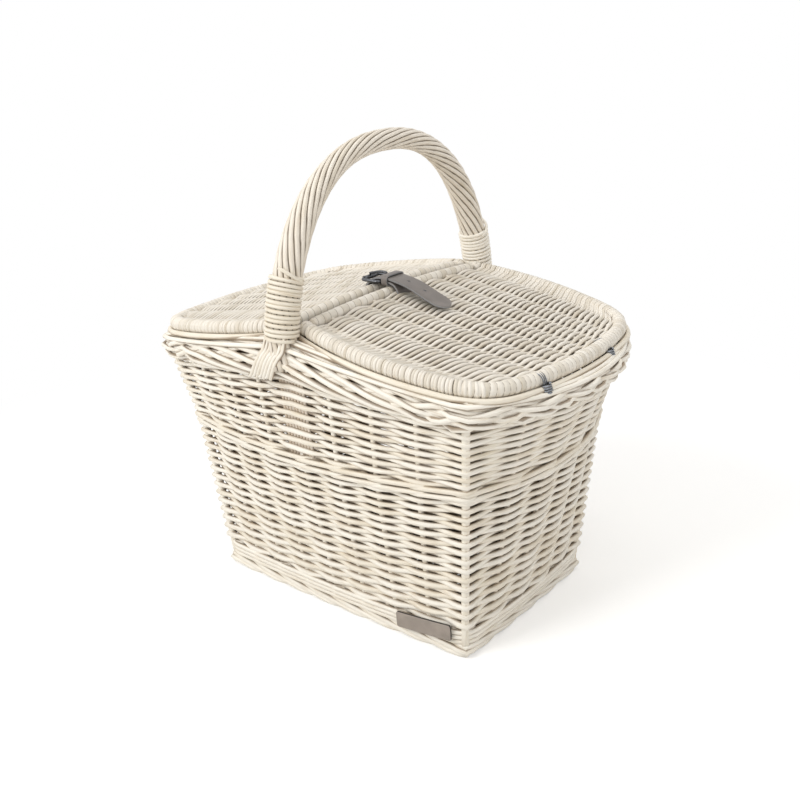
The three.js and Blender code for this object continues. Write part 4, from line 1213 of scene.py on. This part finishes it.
def strap_line():
    """Side view of the strap as x and level, from its sewn end round both mid bars to its tip."""
    bar = LID_MID_LEVEL + LID_CROWN
    tail = STRAP_LEVEL + 3.0
    tip = on_lid(STRAP_TIP_X, STRAP_Y).z + 7.0
    # The strap stands off the right bar in a slack bow, and lies close round the left one
    line = [(1.9, STRAP_LEVEL), (LID_MID_X + 0.5, STRAP_LEVEL), (LID_MID_X + 6.5, bar + 6.6),
            (LID_MID_X + 10.5, bar + 2.0), (LID_MID_X + 10.8, bar - 3.0), (LID_MID_X + 6.5, bar - 6.6),
            (LID_MID_X, bar - STRAP_BEND)]
    line += [(STRAP_BEND * math.cos(a) - LID_MID_X, bar + STRAP_BEND * math.sin(a))
             for a in np.radians(np.linspace(-90, -240, 5))]
    line += [(3 - LID_MID_X, mix(278.8, tail, 0.82)), (0.1, tail), (LID_MID_X, tail)]
    return line + [(mix(LID_MID_X, STRAP_TIP_X, along), mix(tail, tip, down))
                   for along, down in ((0.35, 0.22), (0.7, 0.66), (1.0, 1.0))]


def tail_shift(x):
    """How far the strap's tail has turned to the front."""
    past = max(x - TAIL_TURN_X, 0)
    return TAIL_TURN * past * past / (past + 4)


# Strips of leather


def strip_mesh(name, line, across, half_width, thickness, rows=8, holes=()):
    """A strip of leather along a line, as wide each way as half_width says for the way along it.

    across gives the direction of its width; its grain side is on the left of the line. holes are
    upright pins that punch it."""
    line = resample(line, 1.0)
    count = len(line) - 1
    lengths = np.linspace(0, count * (line[1] - line[0]).length, count + 1)
    bm = bmesh.new()
    bmesh.ops.create_grid(bm, x_segments=count, y_segments=rows, size=0.5)
    across = Vector(across)
    for vert in bm.verts:
        index = int(round((vert.co.x + 0.5) * count))
        width = half_width(lengths[index], lengths[-1])
        vert.co = (line[index] + across * (2 * vert.co.y * width)) * MM
    bmesh.ops.recalc_face_normals(bm, faces=bm.faces)
    mesh = bpy.data.meshes.new(name)
    bm.to_mesh(mesh)
    bm.free()
    strip = bpy.data.objects.new(name, mesh)
    bpy.context.scene.collection.objects.link(strip)
    thick = strip.modifiers.new("Thickness", "SOLIDIFY")
    thick.thickness = thickness * MM
    thick.offset = 0.0
    for pin in holes:
        punch = strip.modifiers.new("Hole", "BOOLEAN")
        punch.operation = "DIFFERENCE"
        punch.object = pin
    edges = strip.modifiers.new("Edges", "BEVEL")
    edges.width = 0.2 * thickness * MM
    edges.segments = 2
    edges.limit_method = "ANGLE"
    edges.angle_limit = math.radians(50)
    bpy.context.view_layer.update()
    result = bpy.data.meshes.new_from_object(strip.evaluated_get(bpy.context.evaluated_depsgraph_get()))
    for used in (strip, *holes):
        bpy.data.objects.remove(used)
    result.name = name
    store_side(result, line, across, thickness)
    return result


def hole_pin(place):
    """An upright pin that punches a hole."""
    bm = bmesh.new()
    bmesh.ops.create_cone(bm, cap_ends=True, segments=20, radius1=HOLE_RADIUS * MM,
                          radius2=HOLE_RADIUS * MM, depth=12 * MM,
                          matrix=Matrix.Translation(Vector(place) * MM))
    mesh = bpy.data.meshes.new("pin")
    bm.to_mesh(mesh)
    bm.free()
    pin = bpy.data.objects.new("pin", mesh)
    bpy.context.scene.collection.objects.link(pin)
    return pin


def store_side(mesh, line, across, thickness):
    """Point attribute side: 1 on the grain side of a strip, -1 on the flesh side."""
    points = coordinates(mesh)
    array = np.array([tuple(p) for p in line]) * MM
    tangent = np.gradient(array, axis=0)
    across = np.array(across, float)
    normal = np.cross(tangent, across)
    normal /= np.linalg.norm(normal, axis=1)[:, None]
    flat = array - np.outer(array @ across, across)
    own = points - np.outer(points @ across, across)
    nearest = np.array([int(np.argmin(((flat - p) ** 2).sum(axis=1))) for p in own])
    height = ((own - flat[nearest]) * normal[nearest]).sum(axis=1)
    side = np.clip(height / (0.5 * thickness * MM), -1, 1)
    attribute = mesh.attributes.new("side", "FLOAT", "POINT")
    attribute.data.foreach_set("value", side.astype(np.float32))


def strap_half_width(at, total):
    """Half the strap's width: full, and drawn in to a rounded point at its tip."""
    into = max(at - (total - STRAP_POINT_LENGTH), 0.0) / STRAP_POINT_LENGTH
    return STRAP_HALF_WIDTH * max(1 - into ** 2.3, 0.004) ** 0.62


def tag_half_height(at, total):
    """Half the tag's height: full, and rounded at its four corners."""
    into = 1 - min(min(at, total - at) / TAG["corner"], 1)
    return TAG["half_height"] - TAG["corner"] * into ** 2


def tag_line():
    """Line of the tag's middle along the front wall, tilted a little."""
    points = []
    for k in range(2 * TAG["half_length"] + 1):
        along = k - TAG["half_length"]
        s = (TAG["x"] + along) / wall_at(TAG["level"])["half_length"]
        points.append(wall_point(0, s, TAG["level"] + math.tan(math.radians(TAG["tilt"])) * along,
                                 TAG["offset"]))
    return points


def keeper_line():
    """Closed line of the keeper round the strap and its tail."""
    loop = []
    for k in range(40):
        a = 2 * math.pi * k / 40
        c, s = math.cos(a), math.sin(a)
        loop.append(Vector((KEEPER["x"], STRAP_Y + math.copysign(abs(c) ** 0.35, c) * KEEPER["half_width"],
                            KEEPER["level"] + math.copysign(abs(s) ** 0.5, s) * KEEPER["half_height"])))
    return loop + [loop[0].copy()]


def buckle_rods():
    """The buckle's wire, a rectangle with round corners, and the stouter bar that the prong rests on."""
    reach_x = BUCKLE["half_length"] - BUCKLE["corner"]
    reach_y = BUCKLE["half_width"] - BUCKLE["corner"]
    path = []
    for x_sign, y_sign, first in ((1, 1, 0), (-1, 1, 90), (-1, -1, 180), (1, -1, 270)):
        for a in np.radians(np.linspace(first, first + 90, 7)):
            path.append((BUCKLE["x"] + x_sign * reach_x + BUCKLE["corner"] * math.cos(a),
                         STRAP_Y + y_sign * reach_y + BUCKLE["corner"] * math.sin(a), STRAP_LEVEL))
    bar = [(BUCKLE["x"] - BUCKLE["half_length"], y, STRAP_LEVEL)
           for y in np.linspace(STRAP_Y - reach_y, STRAP_Y + reach_y, 6)]
    return [Rod(path, BUCKLE["wire"], closed=True), Rod(bar, BUCKLE["bar"])]


# What a user may change


def length_prop(name, description, default, low, high):
    return FloatProperty(name=name, description=description, default=default, min=low, max=high,
                         unit="LENGTH", subtype="DISTANCE")


def number_prop(name, description, default, low, high):
    return FloatProperty(name=name, description=description, default=default, min=low, max=high)


def count_prop(name, description, default, low, high):
    return IntProperty(name=name, description=description, default=default, min=low, max=high)


def power_prop(name, description, default):
    return FloatProperty(name=name, description=description, default=default, min=0.0, unit="POWER")


def colour_prop(name, description, code):
    return FloatVectorProperty(name=name, description=description, default=linear(code), size=4, min=0.0,
                               max=1.0, subtype="COLOR")


class BasketWeave(bpy.types.PropertyGroup):
    """Sizes of the body's weave"""

    sharpness: number_prop("Sharpness", "1 for a soft wave, more for a flatter weaver", 1.15, 0.5, 4.0)
    lower_crossing: number_prop("Lower crossing", "Thickness in rows of a lower weaver between uprights",
                                1.0, 0.6, 1.4)
    lower_passing: number_prop("Lower passing", "Thickness in rows of a lower weaver in front of an upright",
                               1.29, 0.8, 1.8)
    lower_surface: length_prop("Lower surface", "From the wall's middle to its outside", 0.0059, 0.003, 0.009)
    upper_crossing: number_prop("Upper crossing", "Thickness in rows of an upper weaver between uprights",
                                1.12, 0.6, 1.4)
    upper_passing: number_prop("Upper passing", "Thickness in rows of an upper weaver in front of an upright",
                               1.5, 0.8, 1.8)
    upper_surface: length_prop("Upper surface", "From the wall's middle to its outside", 0.0051, 0.003, 0.009)
    foot_rod: length_prop("Foot rod", "Thickness of the foot border's rods", 0.005, 0.002, 0.008)
    rim_rod: length_prop("Rim rod", "Thickness of the rim border's rods", 0.0047, 0.002, 0.008)


class BasketLids(bpy.types.PropertyGroup):
    """Sizes of the lids' weave and binding"""

    rows: count_prop("Rows", "Weavers across each lid", 62, 20, 80)
    weaver: length_prop("Weaver", "Thickness of a weaver", 0.003, 0.002, 0.006)
    passing: number_prop("Passing", "How much thicker a weaver is over and under a stick", 1.46, 0.8, 1.8)
    reach: length_prop("Reach", "How far a weaver stands off the middle of the lid", 0.0018, 0.001, 0.004)
    sharpness: number_prop("Sharpness", "1 for a soft wave, more for a flatter weaver", 1.0, 0.5, 4.0)
    end_skein: length_prop("End skein", "Width of one turn of skein on the end bar", 0.0049, 0.002, 0.012)
    mid_skein: length_prop("Mid skein", "Width of one turn of skein on the mid bar", 0.0074, 0.002, 0.012)


class BasketHandle(bpy.types.PropertyGroup):
    """Rods and turns of the handle"""

    strands: count_prop("Strands", "Rods twisted round the core", 13, 4, 20)
    twist: number_prop("Twist", "Turns from one foot to the other", 2.15, 0.0, 4.0)
    leg_radius: length_prop("Leg radius", "Radius of the whole twist on the legs", 0.0118, 0.005, 0.02)
    top_radius: length_prop("Top radius", "Radius of the whole twist at the top", 0.009, 0.005, 0.02)
    front_turns: count_prop("Front turns", "Turns of the front binding", 14, 4, 20)
    back_turns: count_prop("Back turns", "Turns of the back binding", 11, 4, 20)


class BasketColours(bpy.types.PropertyGroup):
    """Colours of the willow's wash, the leather and the metal"""

    wall: colour_prop("Walls", "Wash on the rods of the walls, borders and handle bindings", "#F4EEE2")
    lid: colour_prop("Lids", "Wash on the rods of the lids", "#E9E2D6")
    handle: colour_prop("Handle", "Wash on the handle's twisted rods", "#EAE1D3")
    group: colour_prop("Liners", "Wash on the rods that go down the wall under the handle", "#EADFD0")
    strap: colour_prop("Strap", "Grain side of the strap", "#7B746F")
    tag: colour_prop("Tag", "Grain side of the tag", "#9B9086")
    buckle: colour_prop("Buckle", "Plating of the buckle", "#5E5F62")
    wire: colour_prop("Wire", "Zinc on the hinge wire", "#85888D")


class BasketStage(bpy.types.PropertyGroup):
    """Lamps and backdrop"""

    key: power_prop("Key", "Power of the lamp at the front left", 38.0)
    fill: power_prop("Fill", "Power of the lamp at the right", 8.0)
    top: power_prop("Top", "Power of the lamp above", 14.0)
    sky: number_prop("Sky", "Strength of the backdrop's own light on the basket", 0.62, 0.0, 1.0)


SETTINGS = {"basket_weave": BasketWeave, "basket_lids": BasketLids, "basket_handle": BasketHandle,
            "basket_colours": BasketColours, "basket_stage": BasketStage}

# Where the wash got to, and the painted shade in hollows and seams, as the function that stores them takes
# it: depth, start, width and seam
WASHES_AND_SHADE = {
    "weave": (below_wall, -1.6, 2.6, 0.4),
    "thick rods": (below_wall, -2.4, 3.0, 0.6),
    "uprights": (below_wall, -1.6, 2.6, 0.0),
    "liners": (below_wall, 0.0, 4.0, 0.8),
    "border": (border_depth, 3.4, 2.6, 0.8),
    "tails": (border_depth, -0.5, 1.8, 1.9),
    "twist": (handle_depth, -0.9, 1.8, 2.6),
    "lid": (below_lid, -0.3, 2.4, 0.8),
}


def add_rods(name, rods, sides, seed, look, body, nodes=(), wash=None, bare=0.0):
    """Makes a piece of willow rods. wash is a key of the table of washes and their painted shade;
    without it every rod gets the same share of bare rod and painted shade.
    """
    mesh = rods_mesh(name, rods, sides, seed)
    if wash:
        store_wash_and_shade(mesh, rods, *WASHES_AND_SHADE[wash])
    else:
        store_bare_and_shade(mesh, np.full(len(mesh.vertices), bare))
    make_piece(name, mesh, look, body, nodes)


class BASKET_OT_body(bpy.types.Operator):
    """Weave the walls of the basket between its wales and borders"""

    bl_idname = "basket.body"
    bl_label = "Body"

    def execute(self, context):
        sizes = context.scene.basket_weave
        lower = (sizes.lower_crossing, sizes.lower_passing, sizes.lower_surface)
        upper = (sizes.upper_crossing, sizes.upper_passing, sizes.upper_surface)
        stakes = [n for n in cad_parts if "_stake_" in n or n.endswith("_corner_post")]
        # Seeds of the pieces count from 1 in this order
        pieces = (
            ("lower_randing", randing(**LOWER_ROWS, weave=lower, sharpness=sizes.sharpness, seed=11), 8,
             "wall", "weave", ["lower_weave"]),
            ("upper_randing", randing(**UPPER_ROWS, weave=upper, sharpness=sizes.sharpness, seed=12), 8,
             "wall", "weave", ["upper_weave"]),
            ("mid_wale_rods", wale(**MID_WALE, seed=13), 8, "wall", "thick rods", ["mid_wale"]),
            ("bottom_wale_rods", wale(**BOTTOM_WALE, seed=14), 8, "wall", "thick rods", ["bottom_wale"]),
            ("foot_border_rods", foot_border(sizes.foot_rod / MM, 15), 10, "wall", "thick rods",
             ["foot_border"]),
            ("rim_border_rods", rim_border(sizes.rim_rod / MM, 16), 10, "wall", "border", ["rim_border"]),
            ("wall_stakes", uprights(), 10, "wall", "uprights", stakes),
            ("handle_group_rods", handle_group(), 8, "group", "liners", ["handle_bow"]),
        )
        for seed, (name, rods, sides, look, wash, nodes) in enumerate(pieces, 1):
            add_rods(name, rods, sides, seed, look, "basket", nodes, wash)
        return {"FINISHED"}


class BASKET_OT_base(bpy.types.Operator):
    """Weave the base inside the foot border"""

    bl_idname = "basket.base"
    bl_label = "Base"

    def execute(self, context):
        ys = [BASE["stick_spacing"] * (k - (BASE["sticks"] - 1) / 2) for k in range(BASE["sticks"])]
        rods = []
        for row in range(BASE["rows"]):
            x = mix(-BASE["rows_reach"], BASE["rows_reach"], row / (BASE["rows"] - 1))
            s = x / FOOT["half_length"]
            edge_y = FOOT["half_width"] + FOOT["side_bow"] * (1 - s * s) - WALL_HALF
            knots = [-edge_y] + ys + [edge_y]
            points = []
            for k in range(len(knots) - 1):
                sign = 1.0 if (row + k) % 2 == 0 else -1.0
                for n in range(6):
                    points.append((x, mix(knots[k], knots[k + 1], n / 6),
                                   BASE["level"] + sign * BASE["wave"] * math.cos(math.pi * n / 6)))
            points.append((x, edge_y, BASE["level"]))
            rods.append(Rod(points, BASE["weaver"]))
        # The whole base is half way to the hollows' colour: bare rod, darkened with painted shade
        add_rods("base_weave", rods, 8, 41, "wall", "basket", ["base_mat"], bare=0.8)
        sticks = [Rod([(x, y, BASE["level"]) for x in np.linspace(-BASE["sticks_reach"], BASE["sticks_reach"],
                                                                  12)], BASE["stick"]) for y in ys]
        add_rods("base_sticks", sticks, 10, 42, "wall", "basket",
                 [f"base_stick_{k + 1}" for k in range(BASE["sticks"])])
        return {"FINISHED"}


class BASKET_OT_handle(bpy.types.Operator):
    """Twist the handle from its rods, bind its feet and lay the rods' ends over the border"""

    bl_idname = "basket.handle"
    bl_label = "Handle"

    def execute(self, context):
        sizes = context.scene.basket_handle
        for name, rods, sides, seed, look, wash, node in (
            ("handle_strands", handle_strands(sizes), 12, 21, "handle", "twist", "handle_rods"),
            ("front_binding", binding(sizes.front_turns, 1, 22), 10, 22, "wall", None,
             "front_handle_binding"),
            ("back_binding", binding(sizes.back_turns, -1, 23), 10, 23, "wall", None, "back_handle_binding"),
            ("front_tails", tails(0, 24), 10, 24, "wall", "tails", "front_handle_tails"),
            ("back_tails", tails(2, 25), 10, 25, "wall", "tails", "back_handle_tails"),
        ):
            add_rods(name, rods, sides, seed, look, "basket", [node], wash)
        return {"FINISHED"}


class BASKET_OT_lids(bpy.types.Operator):
    """Weave the two lids in their bound frames"""

    bl_idname = "basket.lids"
    bl_label = "Lids"

    def execute(self, context):
        sizes = context.scene.basket_lids
        for lid, side, seed in (("right_lid", 1, 31), ("left_lid", -1, 51)):
            path = lid_frame(side)
            add_rods(f"{lid}_rows", lid_rows(sizes, side, seed), 8, seed, "lid", lid,
                     [f"{lid}_weave"], "lid")
            add_rods(f"{lid}_sticks", lid_sticks(side), 8, seed + 1, "lid", lid)
            # The frame rod is a fifth of the way to the hollows' colour: bare rod, darkened with painted
            # shade
            add_rods(f"{lid}_frame", [Rod(path, LID_HOOP)], 12, seed + 2, "lid", lid,
                     [f"{lid}_hoop"], bare=0.5)
            outer = [k for k, p in enumerate(path) if abs(p.x) > LID_CORNER_X - END_BAR_REACH]
            end_bar = path[outer[0]:outer[-1] + 1]
            mid_bar = [on_lid(side * LID_MID_X, y)
                       for y in np.linspace(-MID_BAR_HALF_LENGTH, MID_BAR_HALF_LENGTH, 40)]
            wound = [("end_bar", end_bar, sizes.end_skein / MM, END_SKEIN, 3, ()),
                     ("mid_bar_skein", mid_bar, sizes.mid_skein / MM, MID_SKEIN, 4, [f"{lid}_mid_bar"])]
            for turn, place in ((1, "front"), (-1, "back")):
                corner = [Vector((p.x, turn * p.y, p.z)) for p in path
                          if p.y < 0 and abs(p.x) < CORNER_SKEIN_REACH]
                wound.append((f"{place}_corner_skein", corner, CORNER_SKEIN_PITCH, CORNER_SKEIN, 5, ()))
            for name, line, pitch, skein, step, nodes in wound:
                mesh = bound_bar(f"{lid}_{name}", line, pitch, seed=seed + step, **skein)
                make_piece(f"{lid}_{name}", mesh, "lid", lid, nodes)
        return {"FINISHED"}


class BASKET_OT_hinges(bpy.types.Operator):
    """Coil the wire hinges of the lids"""

    bl_idname = "basket.hinges"
    bl_label = "Hinges"

    def execute(self, context):
        for side, side_name in ((1, "right"), (-1, "left")):
            for y, end_name in zip(RING_YS, ("front", "back")):
                rods = [Rod([Vector((side * p.x, p.y, p.z)) for p in path], diameter)
                        for path, diameter in ((ring_path(y), RING_WIRE), (ring_waist(y), WAIST_WIRE))]
                name = f"{end_name}_{side_name}_hinge"
                mesh = rods_mesh(f"{name}_coil", rods, 8, 61)
                make_piece(f"{name}_coil", mesh, "wire", "basket", [f"{name}_ring"])
        return {"FINISHED"}


class BASKET_OT_strap(bpy.types.Operator):
    """Buckle the strap round the mid bars and fix the tag to the wall"""

    bl_idname = "basket.strap"
    bl_label = "Strap"

    def execute(self, context):
        line = smooth_path([Vector((x, STRAP_Y - tail_shift(x), z)) for x, z in strap_line()], 8)
        pins = []
        for at in STRAP_HOLE_XS:
            nearest = min(line[len(line) // 2:], key=lambda p: abs(p.x - at))
            pins.append(hole_pin((at, nearest.y, nearest.z)))
        mesh = strip_mesh("strap_strip", line, (0, 1, 0), strap_half_width, STRAP_THICKNESS, holes=pins)
        make_piece("strap_strip", mesh, "strap", "left_lid", ["strap"])
        mesh = strip_mesh("strap_loop", keeper_line(), (1, 0, 0), lambda at, total: KEEPER["half_length"],
                          KEEPER["thickness"], rows=3)
        make_piece("strap_loop", mesh, "strap", "left_lid", ["strap_keeper"])
        mesh = rods_mesh("buckle_wire", buckle_rods(), 12, 62)
        make_piece("buckle_wire", mesh, "buckle", "left_lid", ["buckle_frame"])
        prong = smooth_path([Vector((x, STRAP_Y, z)) for x, z in PRONG_LINE], 6)
        mesh = rods_mesh("buckle_tongue", [Rod(prong, domed(prong, PRONG_WIRE))], 10, 63)
        make_piece("buckle_tongue", mesh, "buckle", "left_lid", ["buckle_prong"])
        mesh = strip_mesh("tag_plate", tag_line(), Vector((0, TAG["lean"], 1)).normalized(),
                          tag_half_height, TAG["thickness"])
        make_piece("tag_plate", mesh, "tag", "basket", ["leather_tag"])
        return {"FINISHED"}


# Stage, in metres


FLOOR_HALF = 30.0
LAMP_AIM = Vector((0, 0, 0.18))
CAMERA_PLACE = Vector((0.5541, -0.6614, 0.4980))
CAMERA_AHEAD = Vector((-0.59620, 0.71957, -0.35605)).normalized()
CAMERA_ROLL = math.radians(-2.4)
SENSOR_WIDTH = 36.0
# Distance from the lens to a picture of this many pixels each way, in pixels
FOCAL_PIXELS = 1022.4
PICTURE_PIXELS = 800


class BASKET_OT_stage(bpy.types.Operator):
    """Set the floor, the lamps and the camera"""

    bl_idname = "basket.stage"
    bl_label = "Stage"

    def execute(self, context):
        scene = context.scene
        sizes = scene.basket_stage
        scene.view_settings.view_transform = "Standard"
        mesh = bpy.data.meshes.new("floor")
        bm = bmesh.new()
        bmesh.ops.create_grid(bm, x_segments=1, y_segments=1, size=FLOOR_HALF)
        bm.to_mesh(mesh)
        bm.free()
        floor = bpy.data.objects.new("floor", mesh)
        scene.collection.objects.link(floor)
        mesh.materials.append(floor_material())
        world = bpy.data.worlds.new("Studio")
        world.use_nodes = True
        scene.world = world
        tree = world.node_tree
        tree.nodes.clear()
        strength = add_node(tree, "ShaderNodeMapRange", {"Value": seen_rays(tree), "To Min": sizes.sky})
        light = add_node(tree, "ShaderNodeBackground", {"Color": WHITE,
                                                        "Strength": strength.outputs["Result"]})
        add_node(tree, "ShaderNodeOutputWorld", {"Surface": light.outputs["Background"]})
        for name, place, size, watts in (
            ("key", (-0.9, -2.2, 1.7), 1.4, sizes.key),
            ("fill", (2.2, -1.2, 1.3), 1.8, sizes.fill),
            ("top", (0.0, 0.3, 2.4), 2.0, sizes.top),
        ):
            data = bpy.data.lights.new(name, "AREA")
            data.size = size
            data.energy = watts
            lamp = bpy.data.objects.new(name, data)
            lamp.location = place
            lamp.rotation_euler = (LAMP_AIM - Vector(place)).to_track_quat("-Z", "Y").to_euler()
            scene.collection.objects.link(lamp)
        data = bpy.data.cameras.new("camera")
        data.sensor_width = SENSOR_WIDTH
        data.lens = SENSOR_WIDTH * FOCAL_PIXELS / PICTURE_PIXELS
        data.clip_start = 0.05
        camera = bpy.data.objects.new("camera", data)
        right = CAMERA_AHEAD.cross(Vector((0, 0, 1))).normalized()
        up = right.cross(CAMERA_AHEAD)
        axis_x = right * math.cos(CAMERA_ROLL) + up * math.sin(CAMERA_ROLL)
        axis_y = up * math.cos(CAMERA_ROLL) - right * math.sin(CAMERA_ROLL)
        matrix = Matrix((axis_x, axis_y, -CAMERA_AHEAD)).transposed().to_4x4()
        matrix.translation = CAMERA_PLACE
        camera.matrix_world = matrix
        scene.collection.objects.link(camera)
        scene.camera = camera
        return {"FINISHED"}


OPERATORS = (BASKET_OT_body, BASKET_OT_base, BASKET_OT_handle, BASKET_OT_lids, BASKET_OT_hinges,
             BASKET_OT_strap, BASKET_OT_stage)


class BASKET_PT_panel(bpy.types.Panel):
    """Lists the pieces of the basket"""

    bl_idname = "BASKET_PT_panel"
    bl_label = "Picnic basket"
    bl_space_type = "VIEW_3D"
    bl_region_type = "UI"
    bl_category = "Basket"

    def draw(self, context):
        for operator in OPERATORS:
            self.layout.operator(operator.bl_idname)
        for setting in SETTINGS:
            values = getattr(context.scene, setting)
            box = self.layout.box()
            for key in values.__annotations__:
                box.prop(values, key)


CLASSES = tuple(SETTINGS.values()) + OPERATORS + (BASKET_PT_panel,)


def register():
    for kind in CLASSES:
        bpy.utils.register_class(kind)
    for setting, kind in SETTINGS.items():
        setattr(bpy.types.Scene, setting, PointerProperty(type=kind))


def unregister():
    for setting in SETTINGS:
        delattr(bpy.types.Scene, setting)
    for kind in reversed(CLASSES):
        bpy.utils.unregister_class(kind)


def main():
    register()
    for operator in OPERATORS:
        group, name = operator.bl_idname.split(".")
        getattr(getattr(bpy.ops, group), name)()
    bpy.context.view_layer.update()


if __name__ == "__main__":
    main()
